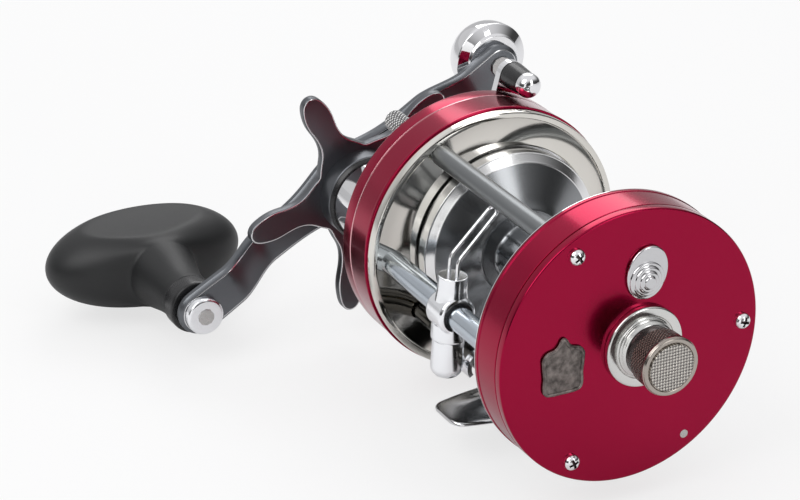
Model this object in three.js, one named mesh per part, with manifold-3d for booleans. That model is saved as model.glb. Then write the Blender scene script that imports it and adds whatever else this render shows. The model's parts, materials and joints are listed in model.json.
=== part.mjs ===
// Round baitcasting reel: red side covers on a pillar frame, level wind, clicker, star drag and power handle.
// Millimetres. +X points out of the palm side along the spool axis, -Y to the front (where line leaves), +Z up.
// The origin is on the underside of the reel foot, below the spool axis and midway between the frame rings.
import * as THREE from "three";
import { mergeVertices } from "three/addons/utils/BufferGeometryUtils.js";
import Module from "manifold-3d";

const wasm = await Module();
wasm.setup();

// ---- Driving dimensions: fits ----
const seatGap = 0.05; // between faces that are screwed, riveted or pressed together
const wireSeatGap = 0.3; // between pieces that meet inside a tilted sub-assembly
const runningGap = 0.15; // round a journal, a slide or a hub that turns

// ---- Facets round each kind of circle ----
const plateFacets = 40;
const fineFacets = 24;
const roundFacets = 18;
const mediumFacets = 14;
const smallFacets = 10;
const tinyFacets = 8;

// ---- Driving dimensions: side plates and frame ----
const spoolHeight = 28.6; // spool axis above the underside of the foot
const plateForward = 2.8; // the round plates' centre lies this far ahead of the spool axis
const plateRadius = 33;
const plateLip = 0.2; // raised lip on each cover's joint edge
const plateLipWidth = 0.9;
const plateBevel = 0.4;
const frameInside = 51.1; // clear width between the rings' rims
const ringDepth = 2.55;
const ringRimWidth = 1.7; // radial width of the rim's polished face
const ringRecess = 0.7; // the web lies this much behind the rim's face
const ringInset = 0.25; // the handle ring is this much smaller than the covers
const palmSkirtWall = 0.8; // the palm cover's skirt, which reaches over its ring
const palmFlangeWidth = 0.35; // the palm ring's edge that the skirt stops at
const ringMouth = 23.6; // hole that the spool's flange turns in
const ringNotchWidth = 2.4;
const ringNotchDepth = 0.8;
const boltInset = 3.9; // from the covers' edge in to the axes of pillars and screws
const pillarRadius = 2.45;
const screwHole = 1.3;
const screwShank = 1.05;
const palmCoverDepth = 8.8;
const palmFaceThickness = 1.7;
const handleCoverDepth = 12.4;
const handleFaceThickness = 1.6;
const coverWall = 1.5;
const trimGrooveWidth = 0.35;
const trimGrooveDepth = 0.3;
const palmGrooveInset = 2.25; // from the palm face to its fine trim groove
const handleGrooveInset = 4.2;
const handleScrewHeadLength = 9.2;
const handleScrewHeadRadius = 2.6;
const palmScrewHeadRadius = 1.9;
const palmScrewHeadHeight = 1.6;
const indexPinRadius = 1.1;
const indexPinInset = 3.42; // from the palm cover's edge in to the pin
const indexPinAngle = -59.53;

// ---- Driving dimensions: foot ----
const footLength = 60;
const footTipWidth = 11;
const footWaistWidth = 19.5;
const footEdge = 0.9;
const footRidgeWidth = 8;
const footRidgeFlat = 18; // length of the ridge's level top
const bridgeUnderside = 3.05;
const bridgeThickness = 1.6;
const bridgeWidth = 20;
const bridgeForward = 1;
const rivetSpacing = 12;
const rivetRadius = 1.5;
const rivetHeadRadius = 2.4;
const rivetHeadHeight = 0.7;

// ---- Driving dimensions: generic side plaque ----
const plaqueInset = 15.6; // from the palm cover's front edge to the plaque's middle
const plaqueZ = -0.4;
const plaqueWidth = 11;
const plaqueHeight = 14;
const plaqueThickness = 0.9;

// ---- Driving dimensions: spool ----
const spoolRimGap = 0.4;
const spoolFlangeSet = 1.8; // the flange's outer edge lies this far beyond the ring's web face
const spoolRimWidth = 5.2;
const spoolBeadRadius = 21.1; // bright corner between the flange's rim and its cone
const spoolBeadRise = 1.1;
const spoolRootRadius = 12.3; // where the cone meets the hub
const spoolConeRise = 4;
const spoolHubRise = 1;
const spoolWall = 1.6;
const arborRadius = 7;
const shaftRadius = 1.5;
const spoolNeckRadius = 4;
const clickTeeth = 16;
const clickTipRadius = 8;
const clickRootRadius = 7.3;
const clickGearWidth = 1.2;

// ---- Driving dimensions: tension boss and knob ----
const bossFlangeRadius = 9.86;
const bossFlangeThickness = 1.55;
const bossNeckRadius = 6.9;
const bossNeckLength = 2.1;
const bossBodyRadius = 6.5;
const spigotRadius = 4.9;
const spigotLength = 6.6;
const palmBearingRadius = 5;
const palmBearingWidth = 2.5;
const tensionDrumRadius = 6.24;
const tensionGripRadius = 6.75;
const tensionBeadRadius = 7.2;
const tensionKnobLength = 8.7;
const tensionNeckLength = 2.7;
const tensionEndWall = 1.8;
const endPlateRadius = 5.64;
const endPlateThickness = 0.5;

// ---- Driving dimensions: clicker ----
const clickerLean = 10; // degrees from upright
const clickerY = 3.2;
const clickerZ = 17.8;
const clickerLength = 12.9;
const clickerWidth = 10.5;
const clickerPlateThickness = 0.8;
const clickerTravel = 3.5;
const clickerStemRadius = 1.1;
const clickerStemDrop = 1.2; // stem below the oval's centre
const clickerDomeDrop = 1.7;
const clickerDomeRadius = 4.4;
const clickerDomeHeight = 2;
const clickerDomeSteps = 4;
const clickerPawlThickness = 1;
const clickerPawlGap = 0.25;

// ---- Driving dimensions: gear train (one module for all gears) ----
const gearModule = 0.5;
const pressureAngle = 20;
const backlash = 0.12;
const mainTeeth = 58;
const pinionTeeth = 14;
const wormDriveTeeth = 33;
const wormCogTeeth = 14;
const gearBridgeThickness = 1.5;
const gearBridgeGap = 1; // between the gear bridge and the cover's bore
const ventY = 14; // lightening hole in the gear bridge, behind and below the spool
const wormDriveWidth = 1;
const ratchetWidth = 0.9;
const ratchetTeeth = 12;
const ratchetTipRadius = 7.5;
const ratchetRootRadius = 6.1;
const mainGearWidth = 2.8;
const mainGearPot = 12.6; // radius of the recess that holds the drag washers
const mainGearPotDepth = 1.7;
const dragWasherRadius = 12.2;
const fibreWasherThickness = 0.8;
const steelWasherThickness = 1.1;
const pressurePlateThickness = 0.85;
const pinionNeckRadius = 2.6;
const pinionFlangeRadius = 3.6;
const pinionFlangeWidth = 0.6;
const layerGap = 0.2;
const yokeThickness = 1.2;
const yokeTravel = 1.5;
const yokeHalfWidth = 5;
const yokePostDrop = 10;
const yokePostY = 3.5;
const yokePostRadius = 1;
const dogDistance = 13;
const dogAngle = -60;
const dogRadius = 2.2;
const dogPinRadius = 1;
const dogTipRadius = 0.7;
const dogTipGap = 0.3;

// ---- Driving dimensions: crank, star drag and handle ----
const crankShaftRadius = 4;
const crankJournalRadius = 2.5;
const sleeveRadius = 9.95;
const sleeveLength = 18.4;
const sleeveWall = 1.6;
const sleeveLand = 3;
const sleeveSpigotRadius = 6.4;
const collarRadius = 11.35;
const collarWidth = 2.2;
const starHubRadius = 12.1;
const starHubLength = 11.3;
const starNutRadius = 7.4;
const starTipReach = 31.7; // from the crank axis to the end of an arm
const starArms = 5;
const starPhase = 117.55;
const starFlare = 3.3; // the arms bend away from the reel by this much
const starThickness = 2.6;
const starWaist = 2.9; // half-width of an arm at its narrowest
const starTipHalfWidth = 4.1;
const starArmRoot = 11;
const armThickness = 3.2;
const armHubHalfWidth = 9;
const armWaistHalfWidth = 5.2;
const armBendLength = 12; // length of each sloping step
const counterBendGap = 1.5; // from the counterweight's foot to the step
const knobBendGap = 3.7; // from the knob's collar to the step
const armOffset = 5; // the arm's ends stand this much nearer the reel than its hub
const armGap = 0.3;
const counterAngle = 32.4;
const counterReach = 47.5;
const counterEndRadius = 5.3;
const knobAngle = 210;
const knobReach = 49.6;
const knobEndRadius = 5.8;
const handleNutRadius = 5.2;
const handleNutHeight = 3.4;
const counterweightRadius = 9.65;
const counterweightDepth = 12.5;
const counterweightWall = 3; // closed end beyond the rivet's bore
const counterweightStep = 7;
const counterRivetRadius = 2.2;
const knobDiscRadius = 4.82;
const knobDiscWidth = 2.4;
const knobSpindleRadius = 2.1;
const knobCollarRadius = 6.9;
const knobCollarWidth = 5;
const knobHalfLength = 26.2;
const knobHalfHeight = 12.6;
const knobHalfDepth = 13.8;
const knobCentreBeyondArm = 35.3; // from the arm's outer face to the middle of the grip
const knobStemRadius = 6.4;
const knobStemFlare = 9.5;

// ---- Driving dimensions: free-spool lever ----
const leverPivotInset = 8.49; // from the covers' edge in to the pivot
const leverPivotAngle = 64.38; // about the plates' centre, degrees from the rear direction
const leverRest = 76.2; // degrees from the rear direction
const leverClearance = 0.25; // between the covers' lip and the lever's sleeve
const leverGap = 1.8; // cover face to lever plate
const leverThickness = 2;
const leverShaftRadius = 1.5;
const leverHubRadius = 3.6;
const leverEyeRadius = 3.3;
const leverGripStart = 3.47;
const leverGripEnd = 2.9;
const leverGripLength = 7;
const leverCapRadius = 3.15;
const leverCapLength = 3.2;
const leverPinRadius = 1;
const camRadius = 4.8;
const camSlope = 0.9;

// ---- Driving dimensions: level wind ----
const tubeRadius = 2.97;
const tubeBore = 2.45;
const tubeSlotWidth = 1.9;
const wormRadius = 2.2;
const wormJournalRadius = 1.6;
const guideBarY = -21.8;
const guideBarZ = 14.3; // above the foot's underside
const carriageX = 2.85;
const carriageLean = 4; // degrees, top to the rear
const carriageRadius = 4.7;
const carriageLength = 7.6;
const carriageCapRadius = 3.5;
const carriageCapTop = 9;
const pawlHousingRadius = 3.8;
const pawlHousingTop = 6.5;
const pawlHousingBottom = 16;
const pawlBore = 1.7;
const pawlRadius = 1.5;
const pawlBladeWidth = 1.2;
const forkThickness = 1.2;
const forkWidth = 5.6;
const forkReach = 3.2; // the prongs pass the guide bar's axis by this much
const wireRadius = 0.45;
const wireSpacing = 3.8;
const wireRise = 6.5; // straight stretch above the cap
const wireSlantRise = 8;
const wireSlantAngle = 45;

// ---- Stations along the spool axis ----
const rimInner = frameInside / 2;
const ringOuter = rimInner + ringDepth;
const webFace = rimInner + ringRecess;
const palmJoint = ringOuter + seatGap;
const palmFace = palmJoint + palmCoverDepth;
const palmInner = palmFace - palmFaceThickness;
const handleJoint = -ringOuter - seatGap;
const handleFace = handleJoint - handleCoverDepth;
const handleInner = handleFace + handleFaceThickness;
const ringRadius = plateRadius - ringInset;
const palmFlangeRadius = plateRadius + plateLip;
const palmRingRadius = plateRadius - palmSkirtWall - seatGap;
const palmSkirtEnd = rimInner + palmFlangeWidth + seatGap;
const coverBore = plateRadius - coverWall;
const boltCircle = plateRadius - boltInset;
const gearBridgeRadius = coverBore - gearBridgeGap;
const plaqueY = plaqueInset - plateRadius;
const radians = Math.PI / 180;

// ---- Solids ----
function solid(geometry) {
  const bare = geometry.clone();
  bare.deleteAttribute("normal");
  bare.deleteAttribute("uv");
  const merged = mergeVertices(bare, 1e-4);
  const index = merged.index.array;
  const triVerts = [];
  for (let i = 0; i < index.length; i += 3) {
    const [a, b, c] = index.slice(i, i + 3);
    if (a !== b && b !== c && c !== a) {
      triVerts.push(a, b, c);
    }
  }
  const make = (triangles) =>
    new wasm.Manifold(
      new wasm.Mesh({
        numProp: 3,
        vertProperties: merged.getAttribute("position").array,
        triVerts: new Uint32Array(triangles),
      }),
    );
  const made = make(triVerts);
  return made.volume() < 0 ? make(triVerts.reverse()) : made;
}

function joined(first, ...others) {
  return others.reduce((sum, other) => sum.add(other), first);
}

function cut(first, ...others) {
  return others.reduce((rest, other) => rest.subtract(other), first);
}

// A solid of revolution about the X axis, or about a line along X through (y, z); the profile is [x, radius] pairs.
function turned(profile, segments, y = 0, z = 0) {
  const points = profile.map(([x, radius]) => new THREE.Vector2(radius, x));
  points.push(points[0].clone());
  const lathe = new THREE.LatheGeometry(points, segments);
  return solid(lathe.rotateZ(-Math.PI / 2).translate(0, y, z));
}

function rod(x0, x1, radius, segments, y = 0, z = 0) {
  const profile = [
    [x0, 0],
    [x1, 0],
    [x1, radius],
    [x0, radius],
  ];
  return turned(profile, segments, y, z);
}

function tube(x0, x1, inner, outer, segments, y = 0, z = 0) {
  const profile = [
    [x0, inner],
    [x1, inner],
    [x1, outer],
    [x0, outer],
  ];
  return turned(profile, segments, y, z);
}

// An outline in the Y-Z plane, given thickness along X.
function slab(shape, x0, x1, curveSegments = 6) {
  const depth = Math.abs(x1 - x0);
  const geometry = new THREE.ExtrudeGeometry(shape, { depth, bevelEnabled: false, curveSegments });
  const toSide = new THREE.Matrix4().set(0, 0, 1, Math.min(x0, x1), 1, 0, 0, 0, 0, 1, 0, 0, 0, 0, 0, 1);
  return solid(geometry.applyMatrix4(toSide));
}

// An outline in the X-Y plane, given thickness along Z.
function plate(shape, z0, z1, curveSegments = 12) {
  const options = { depth: z1 - z0, bevelEnabled: false, curveSegments };
  return solid(new THREE.ExtrudeGeometry(shape, options).translate(0, 0, z0));
}

// An upright round bar between two heights.
function post(z0, z1, radius, segments, x = 0, y = 0, topRadius = radius) {
  const cylinder = new THREE.CylinderGeometry(topRadius, radius, z1 - z0, segments);
  return solid(cylinder.rotateX(Math.PI / 2).translate(x, y, (z0 + z1) / 2));
}

function block(x0, x1, y0, y1, z0, z1) {
  const box = new THREE.BoxGeometry(x1 - x0, y1 - y0, z1 - z0);
  return solid(box.translate((x0 + x1) / 2, (y0 + y1) / 2, (z0 + z1) / 2));
}

function polar(radius, degrees) {
  return [radius * Math.cos(degrees * radians), radius * Math.sin(degrees * radians)];
}

function polygon(points) {
  return new THREE.Shape(points.map(([x, y]) => new THREE.Vector2(x, y)));
}

// Two round ends of their own radius, joined by the straight lines that touch both.
function link([ay, az], ra, [by, bz], rb) {
  const along = Math.atan2(bz - az, by - ay);
  const spread = Math.acos((ra - rb) / Math.hypot(by - ay, bz - az));
  const shape = new THREE.Shape();
  shape.absarc(ay, az, ra, along + spread, along - spread + 2 * Math.PI, false);
  shape.absarc(by, bz, rb, along - spread, along + spread, false);
  shape.closePath();
  return shape;
}

function disc(radius, y = 0, z = 0) {
  return new THREE.Shape().absarc(y, z, radius, 0, 2 * Math.PI, false);
}

// ---- Gear outlines ----
// Involute teeth: each flank runs from the root circle to the tip circle, thinned by the backlash.
function gearOutline(teeth, phase) {
  const pitch = (gearModule * teeth) / 2;
  const base = pitch * Math.cos(pressureAngle * radians);
  const tip = pitch + gearModule;
  const root = pitch - 1.25 * gearModule;
  const involute = (r) => {
    const angle = Math.acos(Math.min(1, base / Math.max(base, r)));
    return Math.tan(angle) - angle;
  };
  const halfAtPitch = Math.PI / (2 * teeth) - backlash / (2 * pitch);
  const halfAngle = (r) => halfAtPitch + involute(pitch) - involute(r);
  const radii = [root, pitch, tip];
  const points = [];
  for (let i = 0; i < teeth; i += 1) {
    const middle = phase + (2 * Math.PI * i) / teeth;
    for (const r of radii) {
      points.push([r * Math.cos(middle - halfAngle(r)), r * Math.sin(middle - halfAngle(r))]);
    }
    for (const r of [...radii].reverse()) {
      points.push([r * Math.cos(middle + halfAngle(r)), r * Math.sin(middle + halfAngle(r))]);
    }
  }
  return polygon(points);
}

// Saw teeth for a dog or a click pawl; lean is how far each tip lags its middle, as a share of the tooth.
function sawOutline(teeth, tip, root, lean) {
  const points = [];
  for (let i = 0; i < teeth; i += 1) {
    const start = i / teeth;
    for (const [share, r] of [
      [0, root],
      [0.5 - lean / 2, tip],
      [0.6 - lean / 2, tip],
      [0.95, root],
    ]) {
      const angle = 2 * Math.PI * (start + share / teeth);
      points.push([r * Math.cos(angle), r * Math.sin(angle)]);
    }
  }
  return polygon(points);
}

// ---- Scene graph ----
const reel = new THREE.Group();

function finish(color, roughness, metalness) {
  return new THREE.MeshStandardMaterial({ color, roughness, metalness });
}

const redAnodised = finish(0xa30d24, 0.3, 0.85);
const polished = finish(0xd9d7d2, 0.08, 1);
const chrome = finish(0xe2e2e0, 0.05, 1);
const darkSteel = finish(0x4a4642, 0.3, 1);
const blackSatin = finish(0x1c1b1c, 0.45, 0.4);
const gunmetal = finish(0x4c4a4d, 0.32, 0.9);
const brassFinish = finish(0xb08d4a, 0.35, 1);
const steel = finish(0x9c9b98, 0.3, 1);
const spoolGrey = finish(0x8d8f8e, 0.25, 1);
const blackRubber = finish(0x151516, 0.55, 0);
const fibre = finish(0x3a3532, 0.8, 0);

function frameAt(parent, x, y, z) {
  const group = new THREE.Group();
  group.position.set(x, y, z);
  parent.add(group);
  return group;
}

function add(group, name, made, material) {
  const data = made.getMesh();
  const geometry = new THREE.BufferGeometry();
  geometry.setAttribute("position", new THREE.BufferAttribute(new Float32Array(data.vertProperties), 3));
  geometry.setIndex(new THREE.BufferAttribute(new Uint32Array(data.triVerts), 1));
  geometry.computeVertexNormals();
  const mesh = new THREE.Mesh(geometry, material);
  mesh.name = name;
  group.add(mesh);
}

const spoolAxis = frameAt(reel, 0, 0, spoolHeight);
const plates = frameAt(reel, 0, -plateForward, spoolHeight);
const mainCentreDistance = (gearModule * (mainTeeth + pinionTeeth)) / 2;
const wormCentreDistance = (gearModule * (wormDriveTeeth + wormCogTeeth)) / 2;
const crankY = -mainCentreDistance;
const tubeY = crankY - wormCentreDistance;
const crank = frameAt(reel, 0, crankY, spoolHeight);
const windAxis = frameAt(reel, 0, tubeY, spoolHeight);

// Positions of the other axes seen from the plates' centre.
const spoolFromPlate = plateForward;
const crankFromPlate = crankY + plateForward;
const tubeFromPlate = tubeY + plateForward;
const barFromPlate = [guideBarY + plateForward, guideBarZ - spoolHeight];
const leverPivotDistance = plateRadius - leverPivotInset;
const leverFromPlate = polar(leverPivotDistance, leverPivotAngle);
const indexPinAt = polar(plateRadius - indexPinInset, indexPinAngle);
const boltAngles = [120, 0, -120];
const bolts = boltAngles.map((degrees) => polar(boltCircle, degrees));

// ---- Frame rings ----
// A rim round a web that is set back from it; the spool's flange turns in the off-centre mouth.
function frameRing(side, outer) {
  const x = (value) => side * value;
  const body = turned(
    [
      [x(webFace), 0],
      [x(webFace), ringRadius - ringRimWidth],
      [x(rimInner + 0.15), ringRadius - ringRimWidth + 0.15],
      [x(rimInner), ringRadius - ringRimWidth + 0.4],
      ...outer.map(([station, radius]) => [x(station), radius]),
      [x(ringOuter), 0],
    ],
    plateFacets,
  );
  const mouth = rod(-ringOuter - 1, ringOuter + 1, ringMouth, plateFacets, spoolFromPlate);
  const holes = bolts.map(([y, z]) => rod(-ringOuter - 1, ringOuter + 1, screwHole, tinyFacets, y, z));
  const tubeHole = rod(-ringOuter - 1, ringOuter + 1, tubeRadius + seatGap, mediumFacets, tubeFromPlate);
  return cut(body, mouth, tubeHole, ...holes);
}

// Two shallow notches in the handle ring's rim, where a turn of the cover locks.
function rimNotch(degrees) {
  const notch = block(
    -ringOuter + 0.9,
    -rimInner + 1,
    ringRadius - ringNotchDepth,
    ringRadius + 1,
    -ringNotchWidth / 2,
    ringNotchWidth / 2,
  );
  return notch.rotate([degrees, 0, 0]);
}

const handleRim = [
  [rimInner, ringRadius - 0.2],
  [rimInner + 0.2, ringRadius],
  [ringOuter, ringRadius],
];
const palmRim = [
  [rimInner, palmFlangeRadius],
  [rimInner + palmFlangeWidth, palmFlangeRadius],
  [rimInner + palmFlangeWidth, palmRingRadius],
  [ringOuter, palmRingRadius],
];
add(plates, "frame_ring_palm", frameRing(1, palmRim), polished);
add(plates, "frame_ring_handle", cut(frameRing(-1, handleRim), rimNotch(62), rimNotch(195)), polished);

// ---- Pillars and the carriage's guide bar ----
// Each bar shoulders on the rims, and its spigot stands on the web.
const pillarEnd = webFace - seatGap;
const pillarShoulder = rimInner - seatGap;
const pillarSpigot = ringRadius - ringRimWidth - seatGap - boltCircle;

function pillar() {
  return turned(
    [
      [-pillarEnd, 0],
      [-pillarEnd, pillarSpigot],
      [-pillarShoulder, pillarSpigot],
      [-pillarShoulder, pillarRadius],
      [pillarShoulder, pillarRadius],
      [pillarShoulder, pillarSpigot],
      [pillarEnd, pillarSpigot],
      [pillarEnd, 0],
    ],
    mediumFacets,
  );
}

const bar = pillar();
add(frameAt(plates, 0, ...bolts[0]), "pillar_top", bar, chrome);
add(frameAt(plates, 0, ...bolts[1]), "pillar_rear", bar, chrome);
add(frameAt(plates, 0, ...barFromPlate), "guide_bar", bar, chrome);

// ---- Foot ----
// The bridge is riveted between the rings' webs, and the foot is riveted under it.
const bridgeTop = bridgeUnderside + bridgeThickness;

function bridgeOutline() {
  const half = bridgeWidth / 2;
  const waist = half - 3;
  const shape = new THREE.Shape();
  shape.moveTo(-pillarEnd, -half - bridgeForward);
  shape.quadraticCurveTo(0, -waist - bridgeForward, pillarEnd, -half - bridgeForward);
  shape.lineTo(pillarEnd, half - bridgeForward);
  shape.quadraticCurveTo(0, waist - bridgeForward, -pillarEnd, half - bridgeForward);
  shape.closePath();
  return shape;
}

function footOutline() {
  const half = footLength / 2;
  const tip = footTipWidth / 2;
  const waist = footWaistWidth / 2;
  const corner = 2.5;
  const shape = new THREE.Shape();
  shape.moveTo(-tip + corner, -half);
  shape.lineTo(tip - corner, -half);
  shape.quadraticCurveTo(tip, -half, tip + 0.3, -half + corner);
  shape.quadraticCurveTo(waist, -half / 3, waist, 0);
  shape.quadraticCurveTo(waist, half / 3, tip + 0.3, half - corner);
  shape.quadraticCurveTo(tip, half, tip - corner, half);
  shape.lineTo(-tip + corner, half);
  shape.quadraticCurveTo(-tip, half, -tip - 0.3, half - corner);
  shape.quadraticCurveTo(-waist, half / 3, -waist, 0);
  shape.quadraticCurveTo(-waist, -half / 3, -tip - 0.3, -half + corner);
  shape.quadraticCurveTo(-tip, -half, -tip + corner, -half);
  return shape;
}

const foot = frameAt(reel, 0, 0, 0);
const ridgeTop = bridgeUnderside - seatGap;
const ridgeSide = polygon([
  [-footLength / 2 + 3, footEdge - 0.2],
  [footLength / 2 - 3, footEdge - 0.2],
  [footRidgeFlat / 2, ridgeTop],
  [-footRidgeFlat / 2, ridgeTop],
]);
const footRidge = slab(ridgeSide, -footRidgeWidth / 2, footRidgeWidth / 2);
const rivetAt = [-rivetSpacing / 2, rivetSpacing / 2];
const rivetHole = (y) => post(-1, bridgeTop + 1, rivetRadius + seatGap, smallFacets, 0, y);
const footBody = joined(plate(footOutline(), 0, footEdge, 5), footRidge);
add(foot, "reel_foot", cut(footBody, ...rivetAt.map(rivetHole)), chrome);
const bridgeBody = plate(bridgeOutline(), bridgeUnderside, bridgeTop, 6);
add(foot, "foot_bridge", cut(bridgeBody, ...rivetAt.map(rivetHole)), chrome);
rivetAt.forEach((y, i) => {
  const head = bridgeTop + seatGap;
  const crown = post(head, head + rivetHeadHeight, rivetHeadRadius, smallFacets, 0, y, rivetHeadRadius - 0.6);
  const name = i === 0 ? "foot_rivet_front" : "foot_rivet_rear";
  add(foot, name, joined(post(0.3, head + 0.1, rivetRadius, smallFacets, 0, y), crown), steel);
});

// ---- Side covers ----
// A cup with a lip at the joint and a fine trim groove; face and joint are stations along X.
function coverCup(joint, face, inner, grooveInset, edge, mouth) {
  const out = Math.sign(face - joint);
  const groove = face - out * grooveInset;
  return turned(
    [
      [inner, 0],
      [inner, coverBore - 1],
      [inner - out, coverBore],
      [joint, coverBore],
      ...mouth,
      [edge, plateRadius + plateLip - 0.15],
      [edge + out * 0.15, plateRadius + plateLip],
      [edge + out * plateLipWidth, plateRadius + plateLip],
      [edge + out * (plateLipWidth + plateLip), plateRadius],
      [groove - (out * trimGrooveWidth) / 2, plateRadius],
      [groove, plateRadius - trimGrooveDepth],
      [groove + (out * trimGrooveWidth) / 2, plateRadius],
      [face - out * plateBevel, plateRadius],
      [face, plateRadius - plateBevel],
      [face, 0],
    ],
    plateFacets,
  );
}

const clickerUp = [Math.sin(clickerLean * radians), Math.cos(clickerLean * radians)];
const stemY = clickerY - clickerStemDrop * clickerUp[0];
const stemZ = clickerZ - clickerStemDrop * clickerUp[1];
const stemSlotRadius = clickerStemRadius + runningGap;
const stemSlotEnd = [stemY + clickerTravel * clickerUp[0], stemZ + clickerTravel * clickerUp[1]];
const stemSlot = slab(link([stemY, stemZ], stemSlotRadius, stemSlotEnd, stemSlotRadius), palmInner - 1, palmFace + 1, 6);
const palmScrewHoles = bolts.map(([y, z]) => rod(palmInner - 1, palmFace + 1, screwHole, tinyFacets, y, z));
const bossHole = rod(palmInner - 1, palmFace + 1, bossBodyRadius + seatGap, fineFacets, spoolFromPlate);
const pinHole = rod(palmInner - 1, palmFace + 1, indexPinRadius + seatGap, smallFacets, ...indexPinAt);
const palmMouth = [
  [palmJoint, palmRingRadius + seatGap],
  [palmSkirtEnd, palmRingRadius + seatGap],
];
const palmCup = coverCup(palmJoint, palmFace, palmInner, palmGrooveInset, palmSkirtEnd, palmMouth);
add(plates, "cover_palm", cut(palmCup, stemSlot, bossHole, pinHole, ...palmScrewHoles), redAnodised);

function palmScrew() {
  const seat = palmFace + seatGap;
  return turned(
    [
      [webFace + 0.3, 0],
      [webFace + 0.3, screwShank],
      [seat, screwShank],
      [seat, palmScrewHeadRadius],
      [seat + palmScrewHeadHeight * 0.45, palmScrewHeadRadius],
      [seat + palmScrewHeadHeight * 0.85, palmScrewHeadRadius * 0.72],
      [seat + palmScrewHeadHeight, palmScrewHeadRadius * 0.3],
      [seat + palmScrewHeadHeight, 0],
    ],
    smallFacets,
  );
}

// A driver recess across each screw head.
const driverCross = joined(
  block(palmFace + 0.9, palmFace + 3, -0.22, 0.22, -1.1, 1.1),
  block(palmFace + 0.9, palmFace + 3, -1.1, 1.1, -0.22, 0.22),
);
bolts.forEach(([y, z], i) => {
  add(frameAt(plates, 0, y, z), `cover_screw_${i + 1}`, cut(palmScrew(), driverCross), chrome);
});
const indexPin = rod(palmInner + 0.2, palmFace + 0.1, indexPinRadius, smallFacets);
add(frameAt(plates, 0, ...indexPinAt), "index_pin", indexPin, steel);

// A plain cast plaque: upright, flat foot with rounded corners, stepped shoulders and a low peak.
function plaqueOutline() {
  const w = plaqueWidth / 2;
  const h = plaqueHeight / 2;
  const shape = new THREE.Shape();
  shape.moveTo(-w * 0.45, -h);
  shape.lineTo(w * 0.45, -h);
  shape.quadraticCurveTo(w, -h * 0.9, w * 0.92, -h * 0.35);
  shape.lineTo(w, h * 0.35);
  shape.lineTo(w * 0.72, h * 0.62);
  shape.lineTo(w * 0.3, h * 0.66);
  shape.lineTo(w * 0.12, h);
  shape.lineTo(-w * 0.22, h * 0.94);
  shape.lineTo(-w * 0.3, h * 0.5);
  shape.lineTo(-w * 0.8, h * 0.42);
  shape.lineTo(-w, h * 0.1);
  shape.lineTo(-w * 0.88, -h * 0.4);
  shape.quadraticCurveTo(-w, -h * 0.9, -w * 0.45, -h);
  return shape;
}

const plaqueSeat = palmFace + seatGap;
const plaque = slab(plaqueOutline(), plaqueSeat, plaqueSeat + plaqueThickness, 4);
add(frameAt(plates, 0, plaqueY, plaqueZ), "side_plaque", plaque, darkSteel);

// ---- Handle-side cover ----
const bearingBossDepth = 2.2;
const bearingBossRadius = 6.2;
const handleBearingRadius = 4.5;
const bearingSeatStart = handleInner - 0.8;
const bearingBossEnd = handleFace - bearingBossDepth;
const handleCup = joined(
  coverCup(handleJoint, handleFace, handleInner, handleGrooveInset, handleJoint, []),
  rod(bearingBossEnd, handleInner - 0.2, bearingBossRadius, mediumFacets, spoolFromPlate),
);
const bearingSeat = rod(bearingBossEnd + 1, handleInner + 1, handleBearingRadius + seatGap, mediumFacets, spoolFromPlate);
const sleeveHole = rod(handleFace - 1, handleInner + 1, sleeveSpigotRadius + seatGap, roundFacets, crankFromPlate);
const leverHole = rod(handleFace - 1, handleInner + 1, leverShaftRadius + runningGap, smallFacets, ...leverFromPlate);
const thumbHoles = bolts.map(([y, z]) => rod(handleFace - 1, handleInner + 1, screwHole, tinyFacets, y, z));
add(plates, "cover_handle", cut(handleCup, bearingSeat, sleeveHole, leverHole, ...thumbHoles), redAnodised);

function thumbScrew() {
  const seat = handleFace - seatGap;
  const end = seat - handleScrewHeadLength;
  const r = handleScrewHeadRadius;
  return turned(
    [
      [-webFace - 0.3, 0],
      [-webFace - 0.3, screwShank],
      [seat, screwShank],
      [seat, r * 0.7],
      [seat - 1.6, r * 0.7],
      [seat - 2, r],
      [end + 0.5, r],
      [end, r - 0.5],
      [end, 0],
    ],
    smallFacets,
  );
}

bolts.forEach(([y, z], i) => {
  add(frameAt(plates, 0, y, z), `thumb_screw_${i + 1}`, thumbScrew(), steel);
});

// ---- Layers of the gear train, outward from the handle ring ----
const bridgePlateInner = handleJoint;
const bridgePlateOuter = bridgePlateInner - gearBridgeThickness;
const driveLayer = bridgePlateOuter - layerGap;
const driveEnd = driveLayer - wormDriveWidth;
const ratchetLayer = driveEnd - seatGap;
const ratchetEnd = ratchetLayer - ratchetWidth;
const mainLayer = ratchetEnd - layerGap;
const mainEnd = mainLayer - mainGearWidth;
const fibreLayer = mainEnd + mainGearPotDepth - seatGap;
const fibreEnd = fibreLayer - fibreWasherThickness;
const steelLayer = fibreEnd - seatGap;
const steelEnd = steelLayer - steelWasherThickness;
const pressureLayer = steelEnd - seatGap;
const pressureEnd = pressureLayer - pressurePlateThickness;
const pinionStart = mainLayer + layerGap;
const yokeInner = pressureEnd + 0.1;
const yokeOuter = yokeInner - yokeThickness;
const pinionGearEnd = yokeInner + runningGap;
const pinionFlange = yokeOuter - runningGap;
const pinionEnd = pinionFlange - pinionFlangeWidth;
const bearingOuterFace = bearingBossEnd + 1 + seatGap;
const shaftEndHandle = bearingOuterFace + 0.2;

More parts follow.
